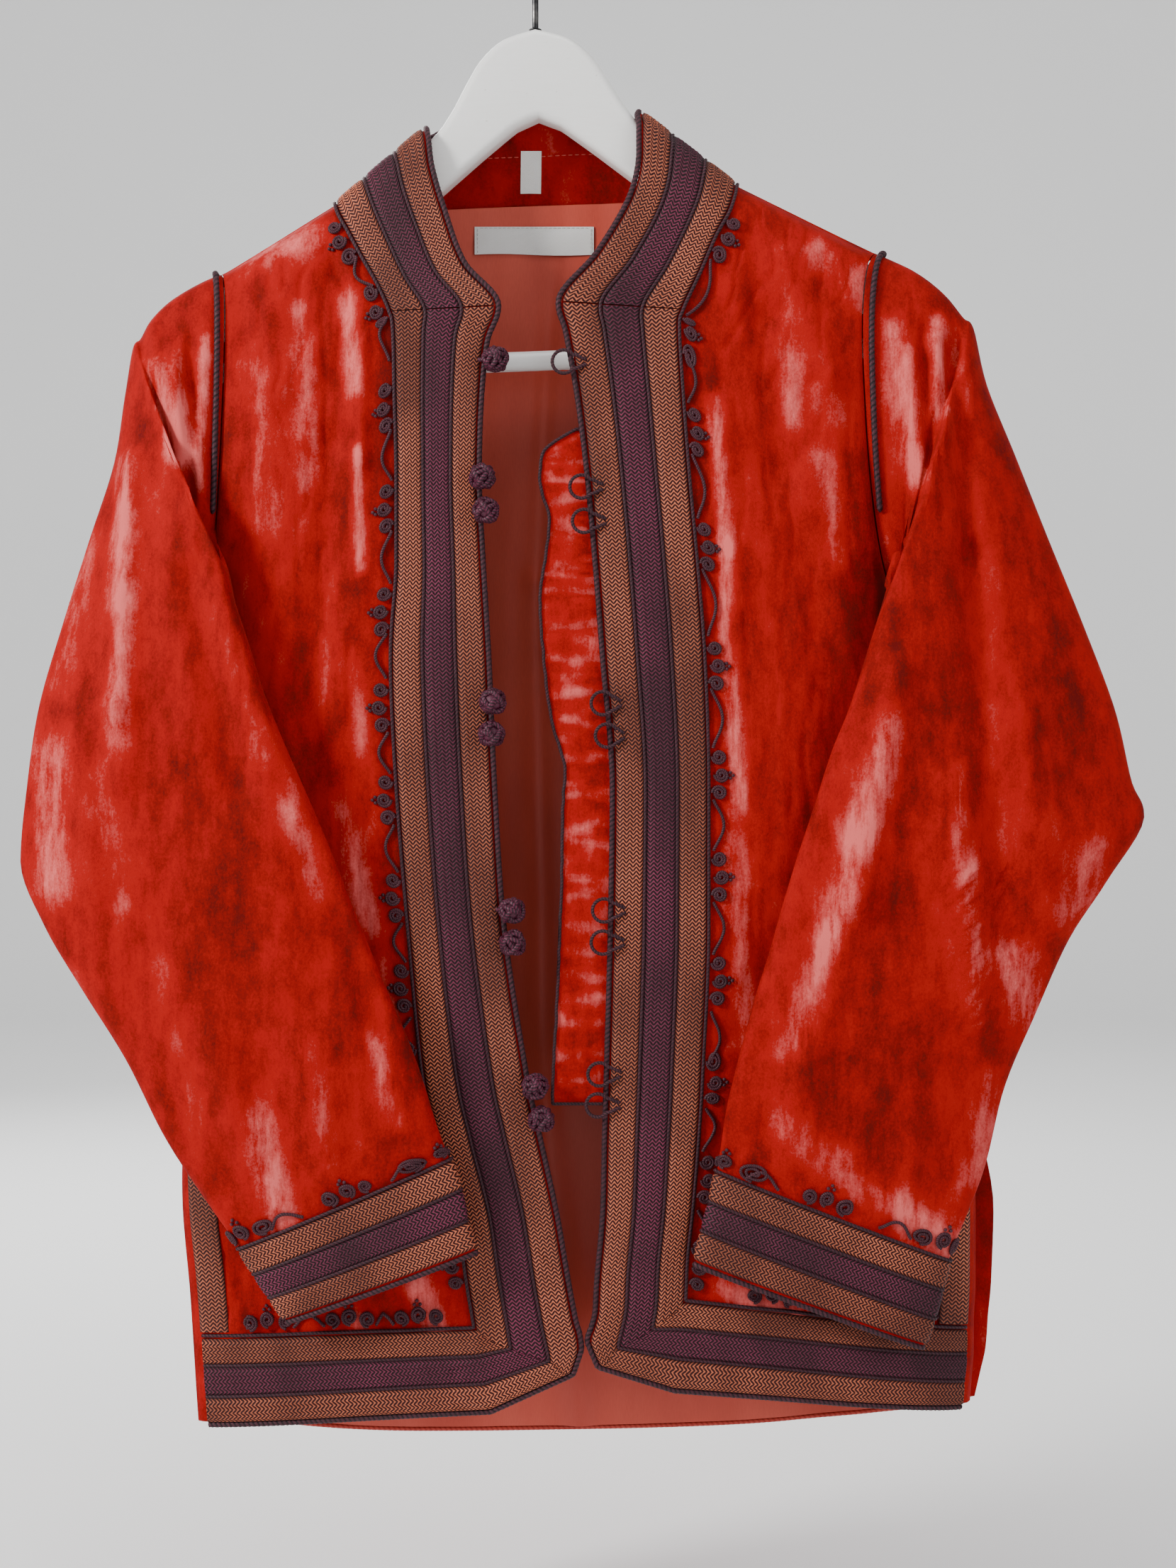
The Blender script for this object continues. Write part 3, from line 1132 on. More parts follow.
def make_separators(side):
    """The thin dark cords between the bands and beside the velvet."""
    cords = Cords()
    for u in SEPARATORS:
        path = surface_path(lengthwise(side, u), SEPARATOR_LIFT, toward=(0, 1, 0))
        cords.add(path, SEPARATOR_RADIUS, sides=6, step=1.05, lay=4.2)
    return cords.piece(f"band_cords_{side_name(side)}", DARK_CORD)

def make_edge_cord(side):
    """The twisted cord along the collar top, the front edge and the hem."""
    levels = np.concatenate([np.linspace(-5, COLLAR_END, 170), np.linspace(COLLAR_END + 0.05, HEM - 1, 380)])
    edge = [band_place(side, t, -1) for t in levels]
    inner = [band_place(side, t, -0.9) for t in levels]
    for u in np.concatenate([np.linspace(-1, -0.02, 60), np.linspace(0, BAND_END, 160)]):
        edge.append(band_place(side, HEM, u))
        inner.append(band_place(side, HEM - 0.4, max(u, -0.9)))
    edge, inner = np.array(edge), np.array(inner)
    along = np.gradient(edge, axis=0)
    along /= np.maximum(np.linalg.norm(along, axis=1, keepdims=True), 1e-9)
    out = edge - inner
    out -= along * (out * along).sum(axis=1, keepdims=True)
    out /= np.maximum(np.linalg.norm(out, axis=1, keepdims=True), 1e-9)
    path = edge + out * (CORD_RADIUS + 0.1)
    keep = [0]
    for k in range(1, len(path)):
        if np.linalg.norm(path[k] - path[keep[-1]]) > 0.5:
            keep.append(k)
    cords = Cords()
    cords.add(path[keep], CORD_RADIUS + 0.25, sides=8, step=1.0, lay=5.0)
    return cords.piece(f"twisted_edge_{side_name(side)}", DARK_CORD)

def make_vent_band(side):
    columns = np.linspace(0.862, 0.965, BRAID_COLUMNS + 1)
    levels = even_levels(lambda t: np.array(front_point(side, t, 0.91)), VENT_TOP, HEM_TOP - 0.05, ROW_STEP)
    base = np.array([[tuple(front_point(side, t, u)) for u in columns] for t in levels])
    braids = Braids()
    braids.add(base, column_lengths(base, np.zeros(len(levels), bool)), (0, -1, 0), GAP, BAND_WALL)
    return braids.piece(f"vent_braid_{side_name(side)}", COPPER)

def sleeve_table(side):
    return RIGHT_SLEEVE if side == RIGHT else LEFT_SLEEVE

def cuff_place(side, t, angle, out):
    """A place on the cuff, moved out from the sleeve."""
    table = sleeve_table(side)
    row = min(int(t), CUFF_END - 1)
    here, there = sleeve_ring(table, row, angle, -out), sleeve_ring(table, row + 1, angle, -out)
    return np.array(here.lerp(there, t - row))

def cuff_angles(side, t, step):
    """Angles round a cuff at even distances along its ring."""
    fine = np.linspace(0, math.tau, 361)
    ring = np.array([cuff_place(side, t, a, 0) for a in fine])
    lengths = np.concatenate([[0], np.cumsum(np.linalg.norm(np.diff(ring, axis=0), axis=1))])
    count = int(round(lengths[-1] / step))
    return np.interp(np.arange(count) * lengths[-1] / count, lengths, fine), lengths[-1] / count

def make_cuff_band(side, name, finish, first, last):
    angles, step = cuff_angles(side, (first + last) / 2, ROW_STEP)
    levels = np.linspace(first, last, BRAID_COLUMNS + 1)
    base = np.array([[cuff_place(side, t, a, 0) for t in levels] for a in angles])
    rows = len(angles)
    turns = round(rows * step / BRAID_PITCH)
    along = np.repeat((np.arange(rows) * turns * BRAID_PITCH / rows)[:, None], BRAID_COLUMNS + 1, 1)
    braids = Braids()
    braids.add(base, along, None, GAP, BAND_WALL, around=True)
    return braids.piece(f"braid_{name}_{side_name(side)}", finish)

CUFF_CORDS = (19.0, 20.0, 21.0)

def make_cuff_cords(side):
    """The dark cords between the cuff's braids and round its end."""
    cords = Cords()
    for t in CUFF_CORDS:
        angles, _ = cuff_angles(side, t, 1.5)
        cords.add([cuff_place(side, t, a, 1.3) for a in angles], 1.0, sides=7, lay=4.2, closed=True)
    angles, _ = cuff_angles(side, 21.99, 1.5)
    table = sleeve_table(side)
    axis = np.array(sleeve_ring(table, 22, 0.5) - sleeve_ring(table, 21, 0.5))
    axis = axis / np.linalg.norm(axis)
    cords.add([cuff_place(side, 21.99, a, 0.2) + axis * 1.2 for a in angles], 1.5, 9, lay=5.0, closed=True)
    return cords.piece(f"cuff_cords_{side_name(side)}", DARK_CORD)

# The scroll gimp. Heights of the clusters' centres on the fronts, and places of those along the hem.
GIMP_HEIGHTS = {
    RIGHT: (-182, -220, -271, -324, -378, -428, -476, -527, -574, -616, -667, -718),
    LEFT: (-181, -231, -284, -344, -406, -463, -516, -570, -623, -673, -718),
}
GIMP_HEM = {RIGHT: (-138, -95, -59), LEFT: (123, 167, 208)}
GIMP_CUFF_ANGLES = (28, 62, 96, 130, 162)
SPIRAL_SPACING, SPIRAL_RADIUS, SPIRAL_CORD = 9.4, 3.7, 0.95
GIMP_BOW, ARC_FOOT, FLEUR_REACH, FLEUR_BALL = 6.8, 1.4, 4.6, 0.95
CLUSTER_REACH = 13.2
MIDDLE_OUT, OUTER_OUT = 5.6, 4.4
DOWN, ALONG = ((1, 0), (0, 1)), ((0, 1), (-1, 0))
BESIDE_BANDS, ABOVE_HEM = 0.004, HEM_TOP - 0.05

def spiral(centre_s, centre_d, turn):
    """A spiral of cord in the gimp's own plane: along and out from the bands."""
    path = []
    for k in range(46):
        f = k / 45
        radius = lerp(0.75, SPIRAL_RADIUS, f)
        angle = turn * (2.15 * math.tau * (1 - f)) - math.pi / 2
        path.append((centre_s + radius * math.cos(angle), centre_d + radius * math.sin(angle)))
    return path

def gimp_cluster():
    """Three spirals, the middle one further out and tipped with a small fleur. Strokes and dots."""
    strokes = [
        spiral(-SPIRAL_SPACING, OUTER_OUT, 1),
        spiral(0, MIDDLE_OUT, 1),
        spiral(SPIRAL_SPACING, OUTER_OUT, -1),
    ]
    out = MIDDLE_OUT + FLEUR_REACH
    dots = [(0, out + 1.5), (-1.5, out), (1.5, out)]
    return strokes, dots

def gimp_arc(start, end):
    """The single cord that bows out from one cluster to the next, out and back in a shallow wave."""
    path = []
    for f in np.linspace(0, 1, 40):
        bow = ARC_FOOT + (GIMP_BOW - ARC_FOOT) * math.sin(math.pi * f) ** 1.3
        path.append((lerp(start, end, f), bow))
    return path

def lay_arc(cords, spots):
    """Put a bowing cord on a surface, from its places with distances along and out."""
    path = []
    for place, along, out in spots:
        point, normal = place(along, out)
        path.append(point + normal * (SPIRAL_CORD + 0.3))
    cords.add(path, SPIRAL_CORD, sides=6, step=0.7, lay=2.6)

def between_clusters(f, whole):
    """How far between two clusters' centres, as a share of the whole, a place of the bowing cord is."""
    return (CLUSTER_REACH + f * (whole - 2 * CLUSTER_REACH)) / whole

def lay_gimp(cords, place, strokes, dots):
    """Put strokes and dots on a surface: place gives a point and its normal for a place on the plane."""
    for stroke in strokes:
        path = []
        for s, d in stroke:
            point, normal = place(s, d)
            path.append(point + normal * (SPIRAL_CORD + 0.25))
        cords.add(path, SPIRAL_CORD, sides=6, step=0.62, lay=2.0, depth=0.30)
    for s, d in dots:
        point, normal = place(s, d)
        cords.ball(point + normal * (FLEUR_BALL * 0.8), FLEUR_BALL)

def placer(surface, t0, u0, s_axis, d_axis, facing=1):
    """Places round a spot of a surface, by distances along and out. The axes are steps in (t, u)."""
    here = np.array(surface(t0, u0))
    reach = 0.02
    lengths = []
    for axis in (s_axis, d_axis):
        there = np.array(surface(t0 + axis[0] * reach, u0 + axis[1] * reach))
        lengths.append(np.linalg.norm(there - here) / reach)

    def place(s, d):
        t = t0 + s / lengths[0] * s_axis[0] + d / lengths[1] * d_axis[0]
        u = u0 + s / lengths[0] * s_axis[1] + d / lengths[1] * d_axis[1]
        point = np.array(surface(t, u))
        a = np.array(surface(t + 0.01, u)) - point
        b = np.array(surface(t, u + 0.01)) - point
        normal = np.cross(a, b)
        normal /= max(np.linalg.norm(normal), 1e-9)
        return point, normal if normal[1] * facing < 0 else -normal

    return place

def level_of(side, z):
    """The level where the bands' inner line is at a height."""
    low, high = 0.0, float(HEM_TOP)
    for _ in range(30):
        t = (low + high) / 2
        if edge_and_line(side, round(t, 4))[1][2] > z:
            low = t
        else:
            high = t
    return t

def make_scroll_gimp(side):
    """The dark gimp beside the bands, down the front and along the hem."""
    cords = Cords()
    strokes, dots = gimp_cluster()

    def surface(t, u):
        return front_surface(side, t, max(u, 0.002))

    levels = [level_of(side, z) for z in GIMP_HEIGHTS[side]]
    for t in levels:
        lay_gimp(cords, placer(surface, t, BESIDE_BANDS, *DOWN), strokes, dots)
    for t, after in zip(levels, levels[1:]):
        whole = (surface(after, BESIDE_BANDS) - surface(t, BESIDE_BANDS)).length
        lay_arc(cords, [
            (placer(surface, lerp(t, after, between_clusters(f, whole)), BESIDE_BANDS, *DOWN), 0, out)
            for f, out in gimp_arc(0, 1)
        ])
    edge_x, side_x = (front_point(side, HEM_TOP, u).x for u in (0, 1))
    hem_places = sorted((x - edge_x) / (side_x - edge_x) for x in GIMP_HEM[side])
    for u in hem_places:
        lay_gimp(cords, placer(surface, ABOVE_HEM, u, *ALONG), strokes, dots)
    for u, after in zip(hem_places, hem_places[1:]):
        whole = (after - u) * abs(side_x - edge_x)
        lay_arc(cords, [
            (placer(surface, ABOVE_HEM, lerp(u, after, between_clusters(f, whole)), *ALONG), 0, out)
            for f, out in gimp_arc(0, 1)
        ])
    return cords.piece(f"scroll_gimp_{side_name(side)}", GIMP_CORD)

def make_cuff_gimp(side):
    """The gimp above the cuff, in front and behind."""
    cords = Cords()
    strokes, dots = gimp_cluster()

    def surface(t, angle):
        return sleeve_surface(side, t, angle)

    for facing in (1, -1):
        for number, degrees in enumerate(GIMP_CUFF_ANGLES):
            place = placer(surface, CUFF_TOP, facing * math.radians(degrees), *ALONG, facing)
            if number % 2 == 0:
                lay_gimp(cords, place, strokes, dots)
            else:
                lay_arc(cords, [(place, along, out) for along, out in gimp_arc(-9, 9)])
    return cords.piece(f"cuff_gimp_{side_name(side)}", GIMP_CORD)

def make_piping(side):
    """The braided cord on the armhole seam."""
    reach = math.radians(PIPING_REACH)
    path = [
        cuff_place(side, 0.4, a, PIPING_RADIUS - 0.2) for a in np.linspace(reach, -reach, 90)
    ]
    cords = Cords()
    cords.add(path, PIPING_RADIUS - 0.2, sides=12, step=0.75, lay=6.0, plies=3, depth=0.30, taper=2)
    return cords.piece(f"armhole_braid_{side_name(side)}", DARK_CORD)

def make_front(side):
    """A front's velvet, in fine cells."""
    patches = NAP_RIGHT_FRONT if side == RIGHT else NAP_LEFT_FRONT
    above = np.linspace(0.05, COLLAR_END, 44)
    levels = np.concatenate([above, np.linspace(COLLAR_END, HEM, 142)[1:]])
    under_bands = np.linspace(-1, -0.02, 7)
    across = np.concatenate([under_bands, np.linspace(0, 0.24, 22), np.linspace(0.24, 1, 50)[1:]])
    points = grid(levels, across, lambda t, u: front_surface(side, t, u))
    for r, t in enumerate(levels):
        if t < 0.3:
            points[r, :, 1] -= 0.95
        if t > UNDERARM:
            points[r, -1, 1] -= 0.3
    cells = np.ones((len(levels) - 1, len(across) - 1), bool)
    cells[: len(above) - 1, : len(under_bands) - 1] = False
    return cloth(
        f"velvet_front_{side_name(side)}", points, WALL, VELVET, toward=(0, -1, 0.4), cells=cells,
        nap=nap_of(points, patches),
    )

def make_sleeve(side):
    patches = NAP_RIGHT_SLEEVE if side == RIGHT else NAP_LEFT_SLEEVE
    levels = np.linspace(0, CUFF_END, 136)
    angles = np.arange(80) * math.tau / 80
    points = grid(levels, angles, lambda t, a: sleeve_surface(side, t, a))
    nap = nap_of(points, patches) * np.where(np.sin(angles) > -0.1, 1.0, 0.7)[None, :]
    return cloth(f"velvet_sleeve_{side_name(side)}", points, WALL, VELVET, around=True, nap=nap)

def make_back():
    levels = np.concatenate([np.linspace(0.02, 4, 26), np.linspace(4, HEM, 80)[1:]])
    across = np.linspace(-1, 1, 91)
    points = grid(levels, across, back_surface)
    return cloth("velvet_back", points, WALL, VELVET, toward=(0, 1, 0), nap=nap_of(points, NAP_BACK))

def make_collar():
    levels = np.concatenate([np.linspace(-5, 0, 40), np.linspace(0, COLLAR_END, 46)[1:]])
    across = np.linspace(-1, 0, 12)
    rows = [[tuple(collar_point(RIGHT, t, u)) for u in across] for t in levels[::-1]]
    rows += [[tuple(collar_point(LEFT, t, u)) for u in across] for t in levels[1:]]
    points = np.array(rows)
    ripple = np.array([[noise.noise(Vector((p[0] / 11, 2.5, p[2] / 8))) for p in row] for row in points])
    points[..., 1] += 0.35 * ripple * np.sin(np.pi * np.linspace(0, 1, 12))[None, :]
    return cloth("velvet_collar", points, WALL, VELVET, toward=(0, -1, 0), nap=0.1 + 0.25 * ripple)

STITCH_LINE, STITCH_PITCH, STITCH_LENGTH = -0.60, 3.6, 2.5

def make_collar_stitches():
    """The top-stitching on the velvet facing inside the collar, behind the neck."""
    levels = np.linspace(-5, -1.2, 60)
    path = []
    for side, order in ((RIGHT, levels[::-1]), (LEFT, levels[1:])):
        for t in order:
            point = collar_point(side, t, STITCH_LINE)
            path.append((point.x, point.y - WALL - 0.25, point.z))
    line = spaced(path, 0.5)
    cords = Cords()
    size, pitch = int(STITCH_LENGTH / 0.5), STITCH_PITCH / 0.5
    for k in range(int(len(line) / pitch)):
        start = int(k * pitch)
        cords.add(line[start : start + size + 1], 0.32, sides=6, step=0.5, taper=0.6)
    return cords.piece("collar_stitches", STITCH)

NECK_LIFT = 9.0
LINING_EDGE, NECK_EDGE = 0.8572, 0.4286

def lining_surface(t, w):
    """The satin's face, towards the viewer, with its centre pleat and soft drag lines."""
    point = back_point(t, w)
    pleat = smooth((t - 1.5) / 3) * fold_height(LINING_FOLDS, point.x, point.z)
    soft = 0.8 * noise.noise(Vector((point.x / 26, 3.3, point.z / 90)))
    soft += 0.3 * noise.noise(Vector((point.x / 9, 8.1, point.z / 60)))
    neck = (1 - smooth((t - 1) / 1.6)) * smooth((0.50 - abs(w)) / 0.08)
    point.z += NECK_LIFT * neck
    point.y -= 1.3 * neck
    point.y -= WALL + GAP + LINING_WALL + 0.3 + max(0.0, pleat) + soft * smooth((1 - abs(w)) / 0.3) + 0.4
    return point

def make_lining():
    levels = np.concatenate([np.linspace(1, 5, 30), np.linspace(5, HEM, 110)[1:]])
    sides = np.linspace(0.2, LINING_EDGE, 28)
    across = np.concatenate([-sides[::-1], np.linspace(-0.2, 0.2, 46)[1:-1], sides])
    points = grid(levels, across, lining_surface)
    cells = np.ones((len(levels) - 1, len(across) - 1), bool)
    narrow = np.abs(across[:-1] + np.diff(across) / 2) > NECK_EDGE
    cells[:29, narrow] = False
    return cloth("satin_lining", points, LINING_WALL, SATIN, toward=(0, -1, 0), cells=cells)

def make_hem_cord():
    path = []
    for w in np.linspace(-0.97, 0.97, 160):
        edge = back_point(HEM, w)
        path.append((edge.x, edge.y - 1.2, edge.z - CORD_RADIUS - GAP))
    cords = Cords()
    cords.add(path, CORD_RADIUS, sides=9, step=1.0, lay=5.5, depth=0.14, taper=1.5)
    return cords.piece("satin_hem_cord", SATIN_CORD)

# Heights of the creases that gather the placket, and how they slant towards the bands.
RUCHES = (
    (-300, 2), (-322, -3), (-338, 1), (-359, -4), (-370, 3), (-387, 5), (-405, -3), (-423, 2), (-438, -5),
    (-456, 3), (-477, -2), (-492, 4), (-502, -3), (-521, 2), (-528, 6), (-546, -4), (-558, 2), (-570, -2),
    (-583, 4), (-594, -3), (-611, 3), (-624, -2),
)

def placket_place(f, q):
    """A point of the placket: f runs down it from 0 to 1, q across it from its free edge."""
    x, z = at_row(PLACKET_EDGE, f * (len(PLACKET_EDGE) - 1))
    edge = front_point(LEFT, row_at_height(LEFT, z), -1)
    out = 0.0
    for height, slant in RUCHES:
        away = z - height - slant * (q - 0.4) - 1.4 * math.sin(q * 5 + height)
        out -= 1.5 * math.exp(-(away / 2.3) ** 2)
        out += 0.7 * math.exp(-((away - 5.5) / 3.0) ** 2)
    out += 0.8 * noise.noise(Vector((x * 0.1 + q * 1.7, 6.1, z / 7)))
    held = smooth(q / 0.14) * smooth((1.02 - q) / 0.25)
    y = edge.y + WALL + 0.75 - 0.85 * held * out * 0.6
    inset = 0.5 * noise.noise(Vector((2.2, 0, z / 6)))
    return Vector((lerp(x + inset, edge.x + 9, q), y, z))

def make_placket():
    points = grid(np.linspace(0, 1, 230), np.linspace(0, 1, 26), placket_place)
    heights = np.array([[noise.noise(Vector((q * 3.1, 4.4, f * 60))) for q in np.linspace(0, 1, 26)]
                        for f in np.linspace(0, 1, 230)])
    slopes = np.clip(np.gradient(points[..., 1], axis=0) * 3, -0.4, 1)
    nap = 0.10 + 0.75 * np.clip(heights, 0, 1) + 0.28 * slopes
    return cloth("velvet_placket", points, 1.2, VELVET, toward=(0, -1, 0), nap=nap)

def make_placket_cord():
    """The dark cord round the placket's free edge, top and foot."""
    path = [np.array(placket_place(0, q)) for q in np.linspace(0.9, 0.06, 14)]
    path += [np.array(placket_place(f, 0)) for f in np.linspace(0, 1, 200)]
    path += [np.array(placket_place(1, q)) for q in np.linspace(0.06, 0.9, 14)]
    path = [p + np.array((-0.5, -0.4, 0)) for p in path]
    cords = Cords()
    cords.add(path, 0.95, sides=7, step=0.8, lay=3.6, taper=1)
    return cords.piece("placket_cord", DARK_CORD)

@lru_cache(maxsize=None)
def row_at_height(side, z):
    """The front's level whose free edge is at a height."""
    low, high = 7.0, 17.0
    for _ in range(24):
        t = (low + high) / 2
        if edge_and_line(side, round(t, 4))[0][2] > z:
            low = t
        else:
            high = t
    return t

KNOT_TURNS, KNOT_BIGHTS, KNOT_CORD = 3, 4, 1.35

def make_button(number, x, z):
    """A ball knotted from cord, with the short stalk that ties it to the edge."""
    edge = front_point(RIGHT, row_at_height(RIGHT, z), -1)
    beside_cord, beside_band = x - edge.x - CORD_RADIUS - GAP, x - edge.x + 0.8
    reach = BUTTON_RADIUS + CORD_RADIUS + 0.15
    y = edge.y - math.sqrt(max(reach ** 2 - beside_cord ** 2, 0.0))
    reach = BUTTON_RADIUS + 0.2
    y = min(y, edge.y - GAP - BAND_WALL - math.sqrt(max(reach ** 2 - beside_band ** 2, 0.0)))
    centre = np.array((x, y, z))
    cords = Cords()
    cords.ball(centre, BUTTON_RADIUS - 2.0)
    turn, lean = Matrix.Rotation(0.7 * number, 3, "Z"), Matrix.Rotation(math.pi / 2 + 0.3, 3, "X")
    for way in (turn, turn @ lean):
        path = []
        for k in range(260):
            a = KNOT_TURNS * math.tau * k / 260
            swing = a * KNOT_BIGHTS / KNOT_TURNS
            high = 0.98 * math.cos(swing)
            radius = BUTTON_RADIUS - KNOT_CORD - 0.35 + 0.45 * math.sin(2 * swing)
            across = math.cos(high)
            offset = Vector((across * math.cos(a), across * math.sin(a), math.sin(high))) * radius
            path.append(centre + np.array(way @ offset))
        cords.add(path, KNOT_CORD, sides=7, step=0.95, lay=3.0, depth=0.2, closed=True)
    foot = np.array((edge.x - 2.0, edge.y - 2.3, z + 0.6))
    stalk = [centre + (foot - centre) * f for f in (0.55, 0.75, 0.9, 1.0)]
    cords.add(stalk, 1.3, sides=8, step=0.7, lay=3.4, taper=1)
    return cords.piece(f"knotted_button_{number}", KNOT)

def make_loop(number, x, z):
    """A cord loop at the left edge, with both ends caught under the edge."""
    edge = front_point(LEFT, row_at_height(LEFT, z), -1)
    y = edge.y - GAP - BAND_WALL - GAP - LOOP_CORD - 0.3
    path = []
    for k in range(60):
        a = math.radians(lerp(-38, -322, k / 59))
        path.append((x + LOOP_RADIUS * math.cos(a), y, z - LOOP_RADIUS * math.sin(a)))
    ends = []
    for sign in (1, -1):
        start = path[0] if sign > 0 else path[-1]
        end = (edge.x + 6.5, edge.y - 2.0, z + sign * 1.3)
        ends.append([
            (lerp(start[0], end[0], f), lerp(y, end[1], f * f), lerp(start[2], end[2], smooth(f)))
            for f in np.linspace(0.08, 1, 10)
        ])
    first, last = (ends if abs(path[0][2] - ends[0][0][2]) < abs(path[0][2] - ends[1][0][2]) else ends[::-1])
    whole = first[::-1] + path + last
    cords = Cords()
    cords.add(whole, LOOP_CORD, sides=8, step=0.6, lay=3.2, taper=0.8)
    return cords.piece(f"cord_loop_{number}", DARK_CORD)

LABEL_X, LABEL_Z = (-33, 31), (-168.5, -183.5)

def make_label():
    """The bare label, a little wavy, with its ends turned under."""
    places = [(t, w) for t in (2, 2.5, 3) for w in (-0.13, -0.06, 0, 0.05, 0.09, 0.13)]
    depth = min(lining_surface(t, w).y for t, w in places) - GAP
    rows = []
    for f in np.linspace(0, 1, 14):
        row = []
        for g in np.linspace(0, 1, 54):
            wave = 0.35 * math.sin(g * 9 + f * 1.5) * smooth(f / 0.3)
            lower = 0.5 * math.sin(g * 6.5) * f
            row.append((lerp(*LABEL_X, g), depth - 0.3 - wave, lerp(*LABEL_Z, f) + lower))
        rows.append(row)
    return cloth("bare_label", np.array(rows), 0.6, TAPE, toward=(0, -1, 0)), depth

def make_label_stitches(depth):
    """Small stitches down both ends of the label and along its top."""
    cords = Cords()
    for x in (LABEL_X[0] + 1.6, LABEL_X[1] - 1.6):
        for k in range(6):
            z = LABEL_Z[0] - 1.2 - k * 2.3
            stitch = [(x, depth - 0.5, z), (x, depth - 0.9, z - 0.7), (x, depth - 0.5, z - 1.4)]
            cords.add(stitch, 0.16, 6, step=0.3)
    for k in range(24):
        x = LABEL_X[0] + 3 + k * 2.45
        cords.add(
            [(x, depth - 0.4, LABEL_Z[0] - 0.8), (x + 0.8, depth - 0.75, LABEL_Z[0] - 0.8),
             (x + 1.6, depth - 0.4, LABEL_Z[0] - 0.8)], 0.15, 6, step=0.3,
        )
    return cords.piece("label_stitches", PALE_STITCH)

def make_size_tab():
    """The bare folded tab on the facing inside the collar."""
    rows = []
    for f in np.linspace(0, 1, 16):
        u = lerp(-0.66, -0.20, f)
        edge = collar_point(RIGHT, -5, u)
        rows.append([
            (lerp(-8, 3, g) - 0.4 * f, edge.y - WALL - 0.9 - 0.5 * math.sin(math.pi * g) * f, edge.z)
            for g in np.linspace(0, 1, 10)
        ])
    return cloth("bare_size_tab", np.array(rows), 0.5, TAPE, toward=(0, -1, 0))

HANGER_POINTS, HANGER_HOLLOW = 64, (0, -47)

def evenly(path, count):
    """A flat path's points again, a given number of them at even distances."""
    path = np.array(path, float)
    lengths = np.concatenate([[0], np.cumsum(np.linalg.norm(np.diff(path, axis=0), axis=1))])
    places = np.linspace(0, lengths[-1], count)
    return np.stack([np.interp(places, lengths, path[:, k]) for k in range(2)], 1)

def make_hanger():
    """The wooden hanger, with its outline smoothed and its edges rounded over."""
    half = HANGER_POINTS
    top = evenly([at_row(HANGER_TOP, k / 6) for k in range(6 * (len(HANGER_TOP) - 1) + 1)], half)
    under = evenly([HANGER_HOLLOW, *reversed(HANGER_UNDERSIDE)], half)
    mirror = np.array((-1, 1))
    outline = np.concatenate([top, under[::-1], under[1:] * mirror, top[:0:-1] * mirror])
    count = len(outline)
    ahead, before = np.roll(outline, -1, 0), np.roll(outline, 1, 0)
    along = ahead - before
    along /= np.linalg.norm(along, axis=1, keepdims=True)
    inward = np.stack([along[:, 1], -along[:, 0]], 1)
    layers = []
    for k in range(7):
        a = math.pi / 2 * k / 6
        inset, rise = HANGER_BEVEL * (1 - math.sin(a)), HANGER_BEVEL * (1 - math.cos(a))
        layers.append((inset, -HANGER_HALF_DEPTH + rise))
    layers += [(inset, -y) for inset, y in reversed(layers)]
    points, faces = [], []
    for inset, y in layers:
        for x, z in outline + inward * inset:
            px, pz = turned(x, z)
            points.append((px, y, pz))
    for r in range(len(layers) - 1):
        for k in range(count):
            n = (k + 1) % count
            faces.append([r * count + k, r * count + n, (r + 1) * count + n, (r + 1) * count + k])
    back = (len(layers) - 1) * count
    for i in range(half - 1):
        right = [i, i + 1, 2 * half - 2 - i, 2 * half - 1 - i]
        left = [2 * half - 1 + i, 2 * half + i, 4 * half - 3 - i, (4 * half - 2 - i) % count]
        for quad in (right, left):
            faces.append(quad[::-1])
            faces.append([back + index for index in quad])
    return add_piece("painted_hanger", points, faces, PAINT, crease_angle=50)

def turned(x, z):
    """A place on the hanger after its small tilt."""
    c, s = math.cos(HANGER_TILT), math.sin(HANGER_TILT)
    return x * c - z * s, HANGER_APEX_Z + x * s + z * c

def make_bar():
    ends = [turned(side * BAR_END_X, BAR_BELOW_APEX) for side in (-1, 1)]
    (x0, z0), (x1, z1) = ends
    path = [(lerp(x0, x1, f), 0, lerp(z0, z1, f)) for f in np.linspace(0, 1, 30)]
    cords = Cords()
    cords.add(path, BAR_RADIUS, sides=28, step=6, taper=1)
    return cords.piece("painted_bar", PAINT, crease_angle=50)

HOOK_WIRE, HOOK_RADIUS = 1.75, 20.75

def make_hook():
    """The wire hook, from its screwed foot to its rounded tip."""
    path = [(0, 0, HANGER_APEX_Z + f) for f in (0.4, 4, 8, 12, 16, 20)]
    path += [(0.7, 0, -47.2), (2.5, 0, -44.5), (5, 0, -41.9), (8, 0, -39.5)]
    for degrees in range(-55, 201, 5):
        angle = math.radians(degrees)
        rise = HOOK_RADIUS * math.sin(angle) - HOOK_RADIUS + HOOK_WIRE
        path.append((HOOK_RADIUS * math.cos(angle), 0, rise))
    cords = Cords()
    cords.add(path, HOOK_WIRE, sides=16, step=1.2, taper=1.2)
    collar = [(0, 0, HANGER_APEX_Z + f) for f in (0.3, 0.8, 1.4, 1.8)]
    cords.add(collar, 3.4, sides=20, step=0.3, taper=0.5)
    return cords.piece("wire_hook", WIRE, crease_angle=50)

